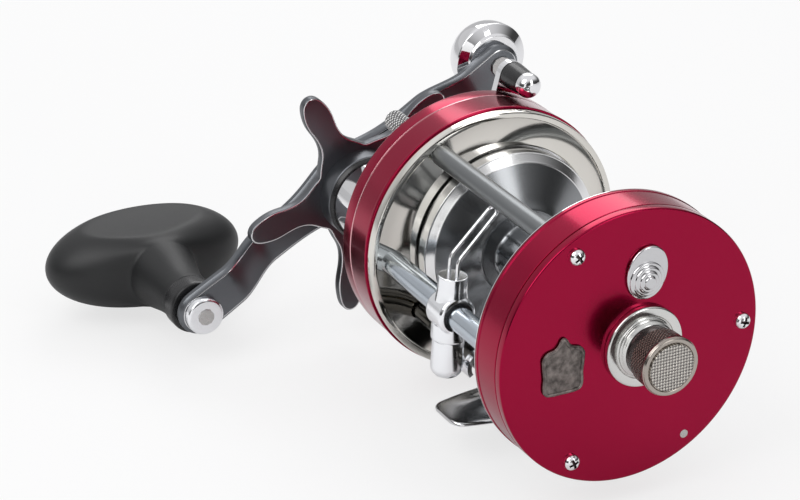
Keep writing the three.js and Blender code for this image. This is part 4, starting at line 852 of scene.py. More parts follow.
        # Painted shade: the deep faces of the cross and the centre fan wear dark steel to stand for the shade
        # inside the recess.
        deep = sunk > 0.3
        cross = np.flatnonzero((deep[:-1] & deep[1:]).ravel())
        recess = [range(int(k), int(k) + 1) for k in cross] + [range(fan, fan + sides)]
        head = Surface(points, faces).turned(37.0 * number).moved(y=middle(node, 1), z=middle(node, 2))
        self.shop.add(f"palm_{node}", head, CHROME, "frame", node, 50, (DARK_STEEL_AND_RECESS_SHADE, recess))

    def _thumb_screw(self, node: str, seat: float) -> None:
        """A diamond-knurled thumb screw that stands on the handle side."""
        end = ends(node)[0] + GAP
        corners = [(seat, 0, 0), (seat, 1.8, 0), (seat - 1.6, 1.8, 0.2), (seat - 2.0, 2.6, 0.25)]
        corners += [(end, 2.6, 0.6), (end, 0, 0)]
        self.shop.lathe(f"knurled_{node}", corners, SCREW_KNURL, "frame", node, sides=64)

    def _plaque(self) -> None:
        """A plain upright plaque: a foot with round corners, stepped shoulders, a low peak, a raised border.

        The border is a tube: inset 0.55 + 0.38 cos t from the outline, station high - 0.36 + 0.34 sin t.
        """
        node, step, sides = "side_plaque", 0.25, 12
        low, high = ends(node)
        half = [(0.0, -1.0), (0.5, -1.0), (0.8, -0.96), (0.93, -0.82)]
        half += [(0.95, -0.6), (0.92, -0.35), (0.97, 0.0)]
        half += [(1.0, 0.34), (0.9, 0.5), (0.72, 0.6), (0.42, 0.64), (0.26, 0.76), (0.14, 0.95), (0.0, 1.0)]
        right = np.array(half)
        size = np.array([half_size(node, axis) - GAP for axis in (1, 2)])
        loop = np.concatenate([right, right[-2:0:-1] * np.array([-1.0, 1.0])]) * size
        dense = []
        for a, b in zip(loop, np.roll(loop, -1, axis=0)):
            steps = max(int(np.linalg.norm(b - a) / step), 1)
            dense += [a + (b - a) * k / steps for k in range(steps)]
        points = relaxed(np.array(dense), 3)
        inward = inward_of(points)
        rings = [
            standing(high - 0.36 + 0.34 * math.sin(t), points + inward * (0.55 + 0.38 * math.cos(t)))
            for t in np.linspace(0, FULL_TURN, sides, endpoint=False)
        ]
        border = Surface(np.concatenate(rings), ring_faces(sides, len(points), True))
        both = merged([plate(points, low + 0.02, high - 0.32, 0.2, 3), border])
        both = both.moved(y=middle(node, 1), z=middle(node, 2))
        self.shop.add("plain_cast_plaque", both, PLAQUE, "frame", node)


@dataclass
class PillarFrame(Group):
    """The two polished rings, the bars between them, the foot and its bridge.

    Attributes:
        rim_radius: outer radius of the handle ring.
        flange_radius: outer radius of the palm ring.
        skirt_radius: radius of the palm ring inside the cover's skirt.
        rim_width: width of the rims.
        mouth: radius of the hole round the spool's axis.
        shoulder: radius of the bars' ends.
        tip_half: half-width of the foot at its tips.
    """

    rim_radius: float = 32.75
    flange_radius: float = 33.18
    skirt_radius: float = 32.15
    rim_width: float = 1.55
    mouth: float = 23.6
    shoulder: float = 1.85
    tip_half: float = 5.5

    def build(self) -> None:
        """Build the rings, bars, foot, bridge and rivets."""
        low, high = ends("frame_ring_palm")
        flange, skirt = self.flange_radius, self.skirt_radius
        edge = [(0.0, 32.9), (0.06, 33.1), (0.14, flange), (0.33, flange), (0.35, skirt)]
        palm = self._ring(1, low, high, edge, flange)
        # The palm ring's web, bore and back are painted near-black to stand for the dark reflection they
        # show; only the rim and edge rows wear bright chrome.
        lit = (CHROME, [range(5 * RING_SIDES, 10 * RING_SIDES)])
        self.shop.add("palm_ring", palm, DARK_BAR_AND_PAINTED_REFLECTION, "frame", "frame_ring_palm", trim=lit)
        low, high = ends("frame_ring_handle")
        r = self.rim_radius
        handle = self._ring(-1, -high, -low, [(0.0, r - 0.3), (0.1, r - 0.08), (0.35, r)], r)
        self.shop.add("handle_ring", handle, NICKEL, "frame", "frame_ring_handle")
        bars = {"pillar_top": SATIN_BAR, "pillar_rear": SATIN_BAR, "guide_bar": DARK_BAR_AND_PAINTED_REFLECTION}
        for node, finish in bars.items():
            tip, radius = ends(node)[1] - GAP, half_size(node, 2)
            end = tip - 0.65
            side = [(end, radius, 0.25), (end, self.shoulder, 0), (tip, self.shoulder, 0), (tip, 0, 0)]
            corners = [(-x, q, fillet) for x, q, fillet in side[::-1]] + side
            self.shop.lathe(f"{node}_round", corners, finish, "frame", node, sides=72)
        self._foot()
        self._bridge()

    def _ring(self, side: int, inside: float, outside: float, edge: list, radius: float) -> Surface:
        """A rim round a set-back web whose mouth is centred on the spool's axis.

        Args:
            side: 1 for the palm side, -1 for the handle side.
            inside: distance from the middle to the rim.
            outside: distance from the middle to the outer face.
            edge: (station past the rim, radius) points of the outer edge.
            radius: outer radius at the rim.

        Returns:
            The closed ring, in its place.
        """
        web, shift, back = inside + 0.7, -self.at.plate_y, outside - GAP
        inner = radius - self.rim_width - (radius - self.rim_radius)
        profile = [(web + 0.25, self.mouth, shift), (web, self.mouth + 0.25, shift), (web, inner - 0.35, 0)]
        profile += [(web - 0.12, inner - 0.1, 0), (inside + 0.12, inner, 0), (inside, inner + 0.15, 0)]
        profile += [(inside + x, r, 0) for x, r in edge]
        profile += [(back, edge[-1][1], 0), (back, self.mouth, shift)]
        turned = revolve([(side * x, r, y) for x, r, y in profile], RING_SIDES)
        return turned.moved(y=self.at.plate_y, z=self.at.spool_z)

    def _foot(self) -> None:
        """The long foot: a thin tongue with a crowned spine.

        Along s = y / half-length the half-width is tip + (widest - tip) (1 - s^2)^0.8, drawn in over the last
        8 per cent; the height is a rounded edge plus rise(s) exp(-|x / 4.4|^3).
        """
        rows, columns = 121, 33
        length, widest = ends("reel_foot", 1)[1], ends("reel_foot")[1] - GAP
        s, u = np.linspace(-1, 1, rows), np.linspace(-1, 1, columns)
        corner = np.sqrt(np.clip(1 - ((np.abs(s) - 0.92) / 0.08).clip(0, 1) ** 2, 0.0, 1))
        half = (self.tip_half + (widest - self.tip_half) * (1 - s**2) ** 0.8) * (0.62 + 0.38 * corner)
        x = half[:, None] * u
        y = np.repeat((length * s)[:, None], columns, axis=1)
        rise = smooth_step(1 - np.abs(s), 0.08, 0.72)[:, None]
        ridge = np.exp(-((np.abs(x) / 4.4) ** 3.0))
        edge = np.sqrt(np.clip(1 - np.abs(u) ** 10, 0, 1))
        top = 0.25 + 0.6 * edge + 2.1 * rise * ridge
        body = self._sheet_pair(x, y, top, np.zeros_like(x))
        self.shop.add("long_foot", body, SATIN_CHROME, "frame", "reel_foot", smooth=50)

    def _bridge(self) -> None:
        """The waisted bridge over the foot, and the rivets' heads on it.

        Half-width of the bridge: 7.2 + 2.6 |x / end|^2.2, with a crown of 0.25 (1 - |v|^6) across it.
        """
        columns = 25
        end, (under, over) = ends("foot_bridge")[1] - GAP, ends("foot_bridge", 2)
        along, v = np.linspace(-end, end, 81), np.linspace(-1, 1, columns)
        x = np.repeat(along[:, None], columns, axis=1)
        y = middle("foot_bridge", 1) + (7.2 + 2.6 * (np.abs(along) / end) ** 2.2)[:, None] * v
        crown = 0.25 * (1 - np.abs(v) ** 6)
        bridge = self._sheet_pair(x, y, over - 0.27 + crown + 0 * x, under + 0.02 + 0 * x)
        self.shop.add("foot_bridge_plate", bridge, SATIN_CHROME, "frame", "foot_bridge", smooth=50)
        seat = over + 0.01
        for node in ("foot_rivet_front", "foot_rivet_rear"):
            tip = ends(node, 2)[1]
            profile = rounded([(seat, 0, 0), (seat, 2.35, 0), (tip - 0.02, 2.1, 0.35), (tip, 0, 0)])
            head = revolve(profile, 48, Axis.Z).moved(y=middle(node, 1))
            self.shop.add(f"{node}_head", head, STEEL, "frame", node)

    @staticmethod
    def _sheet_pair(x: np.ndarray, y: np.ndarray, upper: np.ndarray, lower: np.ndarray) -> Surface:
        """Close two grids of heights over the same (x, y) along their four edges."""
        rows, columns = x.shape
        count = rows * columns
        index = np.arange(count).reshape(rows, columns)
        corners = [index[:-1, :-1], index[:-1, 1:], index[1:, 1:], index[1:, :-1]]
        top = np.stack(corners, -1).reshape(-1, 4)
        faces = [tuple(f) for f in top.tolist()] + [tuple(f) for f in (top[:, ::-1] + count).tolist()]
        runs = [index[0], index[1:, -1], index[-1, -2::-1], index[-2:0:-1, 0]]
        border = np.concatenate(runs).tolist()
        faces += [(b, a, a + count, b + count) for a, b in zip(border, border[1:] + border[:1])]
        sheets = [np.stack([x, y, z], axis=-1).reshape(-1, 3) for z in (upper, lower)]
        return Surface(np.concatenate(sheets), faces)


# ---- Spool, tension control and clicker ----


@dataclass
class Spool(Group):
    """The turned spool: broad rims, a bright bead, smooth cones and a narrow hub; rims and bead wear a
    brighter metal, partly their own polish and partly a painted highlight.

    Attributes:
        rim: radius of the flanges.
        set_in: how far the flanges reach past the palm ring's rim.
    """

    rim: float = 23.15
    set_in: float = 2.5

    def build(self) -> None:
        """Turn one side's profile and its mirror image in one piece."""
        outer = ends("frame_ring_palm")[0] + self.set_in
        bead = outer - 6.3
        root = bead - 4.0
        hub = root - 1.0
        side = [(outer + 2.4, 0, 0), (outer + 2.4, 3.9, 0.3), (hub + 1.7, 3.9, 0.3), (hub + 1.7, 8.4, 0.4)]
        side += [(root + 1.7, 12.6, 0.6), (bead + 1.5, 20.2, 0.5), (outer - 0.2, 21.6, 0.3)]
        side += [(outer, 21.8, 0.1), (outer, self.rim, 0.35), (outer - 5.2, self.rim - 0.02, 0.15)]
        side += [(outer - 5.25, self.rim - 0.35, 0.1), (bead + 0.15, 21.25, 0.1), (bead - 0.05, 20.95, 0.25)]
        side += [(bead - 0.1, 20.75, 0.1), (root, 12.3, 1.2), (hub + 0.1, 10.8, 0.4), (hub, 7.4, 0.6)]
        side += [(hub - 0.8, 7.0, 0.6)]
        profile = rounded(side + [(-x, r, f) for x, r, f in reversed(side)], 5)
        pairs = enumerate(zip(profile, profile[1:]))
        # The rim and bead rows get a brighter metal than the cones: partly the rims' own polish, partly
        # painted highlight.
        bright = [i for i, (a, b) in pairs if min(a[1], b[1]) > 20.7 and abs(a[0]) < outer - 0.02]
        body = revolve(profile, SPOOL_SIDES).moved(z=self.at.spool_z)
        trim = (SPOOL_RIM_AND_HIGHLIGHT, face_rows(bright, SPOOL_SIDES))
        self.shop.add("turned_spool", body, SPUN, "spool", "spool", trim=trim)


@dataclass
class TensionControl(Group):
    """The satin boss and the knurled knob with its bright rim and cross-cut end plate."""

    def build(self) -> None:
        """Build the boss from the palm face, and the knob from its own seat."""
        axis = (0.0, self.at.spool_z)
        boss = [(-0.1, 0, 0), (0.02, 9.68, 0.2), (1.6, 9.68, 0.45), (1.6, 7.6, 0.15), (1.4, 7.3, 0.1)]
        boss += [(1.65, 6.95, 0.12), (2.1, 6.95, 0.12), (2.25, 6.5, 0.1), (2.55, 6.5, 0.1), (2.7, 6.72, 0.08)]
        boss += [(2.85, 6.5, 0.08), (3.0, 6.72, 0.08), (3.15, 6.5, 0.08), (3.3, 6.72, 0.08), (3.65, 6.3, 0.1)]
        boss += [(3.65, 4.9, 0.1), (10.25, 4.9, 0.2), (10.25, 0, 0)]
        face = ends("cover_palm")[1]
        self.shop.lathe("threaded_boss", boss, SATIN_BOSS, "frame", "boss_flange", face, axis, 3, KNOB_SIDES)
        seat = ends("tension_knob")[0]
        knob = [(6.85, 0, 0), (6.85, 5.05, 0), (0.05, 5.05, 0.1), (0.05, 6.24, 0.15), (2.55, 6.4, 0.1)]
        knob += [(2.7, 6.7, 0.12), (7.15, 6.85, 0.12), (7.25, 6.55, 0.05), (7.4, 6.55, 0.05)]
        knob += [(7.55, 7.05, 0.12), (8.05, 7.05, 0.2), (8.2, 6.9, 0.08), (8.65, 6.8, 0.25)]
        knob += [(8.65, 5.9, 0.15), (8.4, 5.7, 0.05), (8.4, 0, 0)]
        profile = rounded(knob, 3)
        pairs = enumerate(zip(profile, profile[1:]))
        rim = [i for i, (a, b) in pairs if min(a[0], b[0]) > 7.35 and a[1] > 5.6]
        bright = (KNOB_RIM, face_rows(rim, KNOB_SIDES))
        made = revolve(profile, KNOB_SIDES).moved(seat, *axis)
        self.shop.add("knurled_tension_knob", made, DARK_STEEL_AND_RECESS_SHADE, "tension", "tension_knob", trim=bright)
        band = revolve([(2.75, 6.69), (2.75, 6.75), (7.1, 6.89), (7.1, 6.8)], KNOB_SIDES)
        self.shop.add("tension_grip_band", band.moved(seat, *axis), KNURL, "tension")
        low, high = ends("knob_end_plate")
        low, high = low + 0.01, high - 0.01
        disc = revolve([(low, 0), (low, 5.5), (high - 0.07, 5.5), (high, 5.42), (high, 0)], 96)
        disc.uv = disc.points[:, 1:3].copy()
        self.shop.add("cross_cut_end", disc.moved(0.0, *axis), MESH, "tension", "knob_end_plate")


@dataclass
class Clicker(Group):
    """The oval sliding button with its stepped dome.

    Attributes:
        lean: how far the button's long axis leans, in degrees.
        dome: radius of the dome's lowest step.
    """

    lean: float = 10.0
    dome: float = 4.4

    def build(self) -> None:
        """Build the button on the palm face, with stations measured from its top."""
        node = "clicker_button"
        tip = ends(node)[1]
        t = np.linspace(0, FULL_TURN, 160, endpoint=False)
        oval = np.column_stack([5.15 * np.cos(t), 6.33 * np.sin(t)])
        steps = [(-2.05, 0, 0), (-2.05, self.dome, 0)]
        for i in range(4):
            r, x = self.dome - 0.98 * i, 0.5 * i - 1.95
            steps += [(x + 0.1, r, 0.1), (x + 0.42, r - 0.12, 0.2), (x + 0.45, r - 0.72, 0.2)]
        steps += [(-0.02, 0.4, 0.2), (-0.02, 0, 0)]
        dome = revolve(rounded(steps, 3), 96).moved(x=tip, z=-1.7)
        both = merged([plate(oval, tip - 2.75, tip - 1.95, 0.35, 4), dome]).turned(-self.lean)
        both = both.moved(y=middle(node, 1), z=middle(node, 2))
        self.shop.add("oval_click_button", both, CLICK_CHROME, "clicker", node)


# ---- Line guide ----


@dataclass
class LineGuide(Group):
    """The slotted tube, the travelling carriage, its housing and the wire loop.

    Attributes:
        lean: forward lean of the carriage in degrees.
        outer: outer radius of the tube.
        inner: inner radius of the tube.
        slot: half-width of the tube's slot.
        half: half-length of the carriage's barrel.
        wire: radius of the wire.
        foot_half: half-width of the wire loop at its feet.
        tip_half: half-width of the wire loop at its tip.
    """

    lean: float = 4.0
    outer: float = 2.94
    inner: float = 2.45
    slot: float = 1.08
    half: float = 3.75
    wire: float = 0.46
    foot_half: float = 1.9
    tip_half: float = 1.65

    def build(self) -> None:
        """Build the tube and what travels along it."""
        self._tube()
        self._carriage()
        self._wire()

    def _tube(self) -> None:
        """A tube with a parallel slot along its underside, swept as a thick open arc."""
        down, steps = -math.pi / 2, 97
        wide, narrow = (math.asin(self.slot / radius) for radius in (self.inner, self.outer))
        t = np.linspace(down + narrow, down + FULL_TURN - narrow, steps)
        u = np.linspace(down + wide, down + FULL_TURN - wide, steps)[::-1]
        ring = np.concatenate([arc(self.outer, t), arc(self.inner, u)])
        tip = ends("levelwind_tube")[1] - GAP
        rings = [standing(x, ring) for x in (-tip, 0.1 - tip, tip - 0.1, tip)]
        n = len(ring)
        faces = ring_faces(len(rings), n)
        for base, way in ((0, -1), ((len(rings) - 1) * n, 1)):
            for i in range(steps - 1):
                faces.append((base + i, base + i + 1, base + n - 2 - i, base + n - 1 - i)[::way])
        tube = Surface(np.concatenate(rings), faces).moved(y=self.at.tube_y, z=self.at.spool_z)
        self.shop.add("slotted_guide_tube", tube, TUBE_METAL, "frame", "levelwind_tube", 50)

    def _carriage(self) -> None:
        """Barrel, rounded upper cap, fork, black rings at the barrel's ends that paint the shade of the gap
        round the tube, and the pawl housing, leaning with the wire.
        """
        half, low = self.half, 2.97
        side = [(0.55 - half, 4.68, 0.5), (half - 0.55, 4.68, 0.5)]
        barrel = [(-half, low, 0), (-half, 4.1, 0), *side, (half, 4.1, 0), (half, low, 0)]
        body = revolve(rounded(barrel, 6), 128)
        cap = [(2.9, 0, 0), (2.9, 3.85, 0), (4.4, 3.62, 0.8), (5.6, 3.48, 0.6), (8.95, 3.46, 0.3)]
        top = revolve(rounded([*cap, (8.98, 3.0, 0.1), (8.98, 0, 0)], 6), 96, Axis.Z)
        skirt = [(-6.45, 0, 0), (-6.45, 4.1, 0), (-6.2, 4.18, 0.1), (-2.2, 4.22, 0.6), (-2.0, 0, 0)]
        under = revolve(rounded(skirt, 4), 96, Axis.Z)
        carriage = self._placed(merged([body, top, under, self._fork()]))
        self.shop.add("line_guide_carriage", carriage, BRIGHT_SATIN, "carriage", "carriage_body", 50)
        # Painted shade: thin black rings at the barrel's ends stand for the shadowed gap between the barrel's
        # bore and the tube.
        seal = [(half + 0.02, 3.0), (half + 0.02, 3.72), (half + 0.24, 3.6), (half + 0.24, 3.0)]
        end_shade_rings = merged([revolve([(side * x, r) for x, r in seal], 96) for side in (-1, 1)])
        self.shop.add("carriage_painted_end_shade", self._placed(end_shade_rings), BLACK, "carriage")
        tip = -15.95
        housing = [(-6.62, 0, 0), (-6.62, 3.62, 0), (-6.78, 3.76, 0.1), (tip + 1.6, 3.76, 0.9)]
        housing += [(tip + 0.25, 2.75, 0.5), (tip, 1.6, 0.4), (tip, 0.0, 0)]

        def slotted(points: np.ndarray) -> np.ndarray:
            """Sink a driver slot across the foot: z rises by 0.6 where |x| is small, near the tip."""
            across = 1 - smooth_step(np.abs(points[:, 0]), 0.35, 0.6)
            near = 1 - smooth_step(points[:, 2], tip + 0.2, tip + 1.2)
            out = points.copy()
            out[:, 2] += 0.6 * (across * near)
            return out

        made = self._placed(revolve(rounded(housing, 6), 96, Axis.Z).warped(slotted))
        self.shop.add("pawl_housing", made, BRIGHT_SATIN, "carriage", "pawl_cap", 50)

    def _fork(self) -> Surface:
        """The tail that reaches back over the lower bar as a narrow saddle."""
        bar = np.array([middle("guide_bar", 1) - self.at.tube_y, middle("guide_bar", 2) - self.at.spool_z])
        t = np.linspace(math.radians(-38), math.radians(218), 41)
        saddle = np.concatenate([bar + arc(3.7, t), bar + arc(2.6, t[::-1])])
        web = [[2.6, -3.0], [4.2, -3.4], [6.6, -8.2], [8.2, -10.9], [6.4, -11.0], [4.0, -12.4], [3.2, -9.0]]
        web = np.array(web)
        slabs = ((saddle, 2.4), (web, 1.35))
        return merged([stacked([standing(x, outline) for x in (-half, half)]) for outline, half in slabs])

    def _placed(self, surface: Surface) -> Surface:
        """Lean a carriage piece back and set it on the tube."""
        return surface.turned(-self.lean).moved(middle("carriage_body", 0), self.at.tube_y, self.at.spool_z)

    def _wire(self) -> None:
        """A long narrow loop that stands up from the carriage and then slopes toward the spool.

        Its legs narrow from foot_half to tip_half; past the bend the path leans back by 45 degrees less
        the lean.
        """
        low, knee_height, radius, tip = 8.4, 11.7, 3.4, self.tip_half
        angle = math.radians(45 - self.lean)
        lean_back = np.array([math.sin(angle), math.cos(angle)])
        leg = np.column_stack([np.zeros(10), np.linspace(low, knee_height, 10)])
        turn = np.linspace(0, angle, 12)[1:]
        knee = np.column_stack([radius * (1 - np.cos(turn)), knee_height + radius * np.sin(turn)])
        peak = ends("line_guide_wire", 2)[1] - self.at.spool_z - 0.12
        climb = (peak * math.cos(math.radians(self.lean)) - knee[-1][1]) / math.cos(angle) - tip + 0.15
        slope = knee[-1] + np.linspace(0.4, climb, 24)[:, None] * lean_back
        side = np.concatenate([leg, knee, slope])
        right = np.column_stack([np.linspace(self.foot_half, tip, len(side)), side])
        t = np.linspace(0, math.pi, 17)[1:-1]
        bow = np.column_stack([tip * np.cos(t), side[-1] + (tip * np.sin(t))[:, None] * lean_back])
        path = np.concatenate([right, bow, right[::-1] * np.array([-1, 1, 1])])
        loop = self._placed(sweep(path, self.wire, 16))
        self.shop.add("line_guide_loop", loop, CHROME, "carriage", "line_guide_wire")


# ---- Handle side ----


@dataclass
class Crank(Group):
    """Sleeve, collar, star wheel, bent arm, counterweight and the grip.

    Attributes:
        knob_angle: direction of the grip's end of the arm, in degrees from +Y toward +Z.
        counter_angle: direction of the counterweight's end.
        knob_reach: length of the arm from the crank's axis to the grip's end.
        counter_reach: length of the arm to the counterweight's end.
        waist: half-width of the arm between its ends.
        hub_half: half-width of the arm at the crank's axis.
        star_hub: radius of the star wheel's valleys.
        star_reach: radius of the star wheel's tips.
        star_dish: how far its tips stand nearer to the reel than its middle.
        star_phase: direction of its first arm.
    """

    knob_angle: float = 210.0
    counter_angle: float = 32.4
    knob_reach: float = 49.6
    counter_reach: float = 47.5
    waist: float = 5.2
    hub_half: float = 9.0
    star_hub: float = 12.1
    star_reach: float = 31.6
    star_dish: float = 2.3
    star_phase: float = 118.2

    @property
    def axis(self) -> tuple[float, float]:
        """Y and Z of the crank's axis."""
        return self.at.crank_y, self.at.spool_z

    def build(self) -> None:
        """Build the crank and its grip."""
        self._stack()
        self._star()
        self._arm()
        self._counterweight()
        self._fittings()
        self._grip()

    def _stack(self) -> None:
        """The sleeve, the dark collar and the arm's nut."""
        low, high = ends("handle_sleeve")
        length = high - low
        sleeve = [(length, 0, 0), (length, 10.35, 0), (-0.95, 10.4, 0.35), (-1.25, 10.0, 0.2)]
        sleeve += [(-1.25, 9.5, 0), (0.0, 9.5, 0), (0.0, 0, 0)]
        add, turning = self.shop.lathe, {"centre": self.axis, "sides": 160}
        add("handle_sleeve_shell", sleeve, CHROME, "frame", "handle_sleeve", low, **turning)
        low, high = ends("seal_collar")
        reach, back = low + 1.05 - high, low - high + 0.02
        collar = [(0.0, 0, 0), (0.0, 9.3, 0), (reach, 9.3, 0), (reach, 10.6, 0.1), (reach - 0.9, 11.15, 0.2)]
        collar += [(back, 11.15, 0), (back, 0, 0)]
        add("dark_seal_collar", collar, BLACK, "crank", "seal_collar", high, **turning)
        corners = [5.15 * heading(self.knob_angle + 60 * i) for i in range(7)]
        shares = np.linspace(0.06, 0.94, 6)
        hexagon = [(1 - s) * a + s * b for a, b in zip(corners, corners[1:]) for s in shares]
        low, high = ends("handle_nut")
        nut = plate(np.array(hexagon), low + 0.02, high, 0.4, 4).moved(0.0, *self.axis)
        self.shop.add("arm_nut", nut, CHROME, "crank", "handle_nut")

    def _star_outline(self) -> np.ndarray:
        """The star's outline: for each arm a fillet, a waisted bar and a round tip, then a shallow valley."""
        hub, reach, count, round_tip, tip_half, waist = self.star_hub, self.star_reach, 5, 3.3, 2.9, 3.0
        foot, foot_half, step = hub * 1.02, 6.2, 0.8
        side = [(foot, -foot_half), (hub * 1.12, -4.5), (hub * 1.26, -3.4), (hub * 1.45, -waist)]
        side += [(reach - 12.5, -waist), (reach - 10.0, -3.35), (reach - 7.5, -3.8), (reach - 5.2, -3.6)]
        turns = np.linspace(-math.pi / 2, math.pi / 2, 19)[1:-1]
        tip = [(reach - round_tip + round_tip * math.cos(x), tip_half * math.sin(x)) for x in turns]
        arm = side + tip + [(p, -q) for p, q in side[::-1]]
        dense = [np.array(arm[0])]
        for a, b in zip(np.array(arm), np.array(arm[1:])):
            steps = max(int(math.dist(a, b) / step), 1)
            dense += [a + (b - a) * k / steps for k in range(1, steps + 1)]
        spread, far = math.atan2(foot_half, foot), math.hypot(foot, foot_half)
        outline: list = []
        for i in range(count):
            a = math.radians(self.star_phase + i * 360 / count)
            along, across = np.array([math.cos(a), math.sin(a)]), np.array([-math.sin(a), math.cos(a)])
            outline += [along * p + across * q for p, q in dense]
            start, end = a + spread, a + FULL_TURN / count - spread
            for x in np.linspace(start, end, 9)[1:-1]:
                r = far - (far - hub) * math.sin(math.pi * (x - start) / (end - start))
                outline.append(np.array([r * math.cos(x), r * math.sin(x)]))
        return relaxed(np.array(outline), 7)

    def _star(self) -> None:
        """A five-armed wheel whose arms dish toward the reel, round a turned boss."""
        points = self._star_outline()
        low, high = ends("star_drag")
        hub, reach = self.star_hub, self.star_reach

        def dish(p: np.ndarray) -> np.ndarray:
            """Bend the arms toward the reel: x rises by dish ((r - hub) / (reach - hub))^1.3."""
            r = np.hypot(p[:, 1], p[:, 2])
            out = p.copy()
            out[:, 0] += self.star_dish * np.clip((r - hub) / (reach - hub), 0, 1) ** 1.3
            return out

        back, tip = high - 0.15, low + GAP
        boss = [(back, 0, 0), (back, 10.6, 0), (high - 0.45, 11.1, 0.3), (high - 5.9, 11.1, 0.5)]
        boss += [(high - 7.9, 11.0, 0.5), (high - 8.5, 7.5, 0.5), (low + 0.55, 7.3, 0.4)]
        boss += [(tip, 6.6, 0.3), (tip, 0, 0)]
        wheel = self._filled(points, high - 7.7, high - 5.25, 0.45).warped(dish)
        made = merged([wheel, revolve(rounded(boss, 4), 128)]).moved(0.0, *self.axis)
        trim = (SATIN_CHROME, [range(14 * len(points), 16 * len(points))])
        self.shop.add("star_drag_wheel", made, GUNMETAL, "star", "star_drag", 40, trim)

    @staticmethod
    def _filled(outline: np.ndarray, back: float, front: float, edge: float) -> Surface:
        """A plate whose faces are rings that shrink to the middle, so that it can be bent smoothly."""
        rows = [(back, share, 0.0) for share in (0.12, 0.3, 0.5, 0.7, 0.82, 0.9, 0.95)]
        rows += [(x, None, inset) for x, inset in edge_rows(back, edge, np.linspace(math.pi / 2, 0, 5))]
        rows += [(front - (x - back), share, inset) for x, share, inset in rows[::-1]]
        inward, rings = inward_of(outline), []
        for x, share, inset in rows:
            ring = outline + inward * inset if share is None else outline * share + inward * edge * share
            rings.append(standing(x, ring))
        return stacked(rings)

    def _arm(self) -> None:
        """The flat arm: a broad waisted blade that steps toward the reel at both ends.

        Half-width at distance d from the axis: waist + (hub - waist) exp(-(d / 10.5)^2), which runs smoothly
        to that of the round end.
        """
        knob, counter = heading(self.knob_angle), heading(self.counter_angle)
        stations, fan = 241, 33
        s = np.linspace(-1, 1, stations)
        out = s > 0
        reach = np.where(out, self.knob_reach, self.counter_reach)
        spine = np.where(out[:, None], knob * (s * reach)[:, None], counter * (-s * reach)[:, None])
        distance = np.abs(s) * reach
        far = smooth_step((distance - 26) / (reach - 1.0 - 26), 0, 1)
        swell = (self.hub_half - self.waist) * np.exp(-((distance / 10.5) ** 2))
        half = self.waist + swell + (np.where(out, 5.8, 5.3) - self.waist) * far
        tangent = np.gradient(spine, axis=0)
        tangent /= np.linalg.norm(tangent, axis=1)[:, None]
        normal = np.stack([-tangent[:, 1], tangent[:, 0]], axis=-1) * half[:, None]
        t = np.linspace(math.pi / 2, -math.pi / 2, fan)[1:-1, None]
        caps = []
        for end, way in ((-1, tangent[-1]), (0, -tangent[0])):
            across = np.array([-way[1], way[0]])
            caps.append(spine[end] + half[end] * (np.cos(t) * way + np.sin(t) * across))
        outline = np.concatenate([spine + normal, caps[0], (spine - normal)[::-1], caps[1]])
        back = ends("handle_arm")[0] + GAP
        front = back + 3.12
        edge = [(0.0, 1.15), (0.08, 0.9), (0.85, 0.06), (0.95, 0.0)]
        rows = [(back + x, inset) for x, inset in edge] + [(front - x, inset) for x, inset in edge[::-1]]
        area = np.sum(outline[:, 0] * np.roll(outline[:, 1], -1) - np.roll(outline[:, 0], -1) * outline[:, 1])
        inward = inward_of(outline) * np.sign(area)
        n = len(outline)
        faces = ring_faces(len(rows), n)
        for base in (0, (len(rows) - 1) * n):
            faces += self._across(base, stations, fan - 2)
        points = np.concatenate([standing(x, outline + inward * inset) for x, inset in rows])

        def bend(p: np.ndarray) -> np.ndarray:
            """Step toward the reel by 5 between 26 and 39.5 mm from the axis along each side."""
            moved = p.copy()
            along = np.maximum(p[:, 1:] @ knob, p[:, 1:] @ counter)
            moved[:, 0] += 5.0 * smooth_step(along, 26.0, 39.5)
            return moved

        blade = Surface(points, faces).warped(bend).moved(0.0, *self.axis)
        trim = (SATIN_CHROME, [range(0, n), range(6 * n, 7 * n)])
        self.shop.add("bent_handle_arm", blade, ARM_METAL, "crank", "handle_arm", 30, trim)

    @staticmethod
    def _across(base: int, body: int, cap: int) -> list:
        """Fill one face of the arm with strips across it and a fan at each round end.

        Args:
            base: the first vertex of the face's ring.
            body: vertices along each side.
            cap: vertices round each end.

        Returns:
            The faces.
        """
        top = [base + i for i in range(body)]
        low = [base + body + cap + (body - 1 - i) for i in range(body)]
        faces: list = [(top[i], top[i + 1], low[i + 1], low[i]) for i in range(body - 1)]
        faces.append((top[-1], *range(base + body, base + body + cap), low[-1]))
        faces.append((low[0], *range(base + 2 * body + cap, base + 2 * (body + cap)), top[0]))
        return faces

    def _counterweight(self) -> None:
        """A domed weight on the arm's short end: radius R sqrt(1 - u^2.4) over its depth."""
        node, radius = "counterweight", 9.62
        low, high = ends(node)
        rim, back = high - 2.4, high - GAP
        depth = high - low - 2.45
        u = np.sin(np.linspace(math.pi / 2, 0, 26))
        r = radius * np.sqrt(np.clip(1 - u**2.4, 0, 1))
        dome = [(rim - depth * float(a), float(b)) for a, b in zip(u, r)]
        tail = [(rim, radius, 0), (high - 1.9, 9.6, 0.4), (high - 0.6, 7.2, 0.25)]
        tail += [(back, 6.9, 0.1), (back, 0, 0)]
        made = revolve(dome + rounded(tail)[1:], 128).moved(y=middle(node, 1), z=middle(node, 2))
        self.shop.add("domed_counterweight", made, CHROME, "crank", node, 50)

    @property
    def grip_axis(self) -> tuple[float, float]:
        """Y and Z of the grip's axis."""
        return middle("power_knob", 1), middle("power_knob", 2)

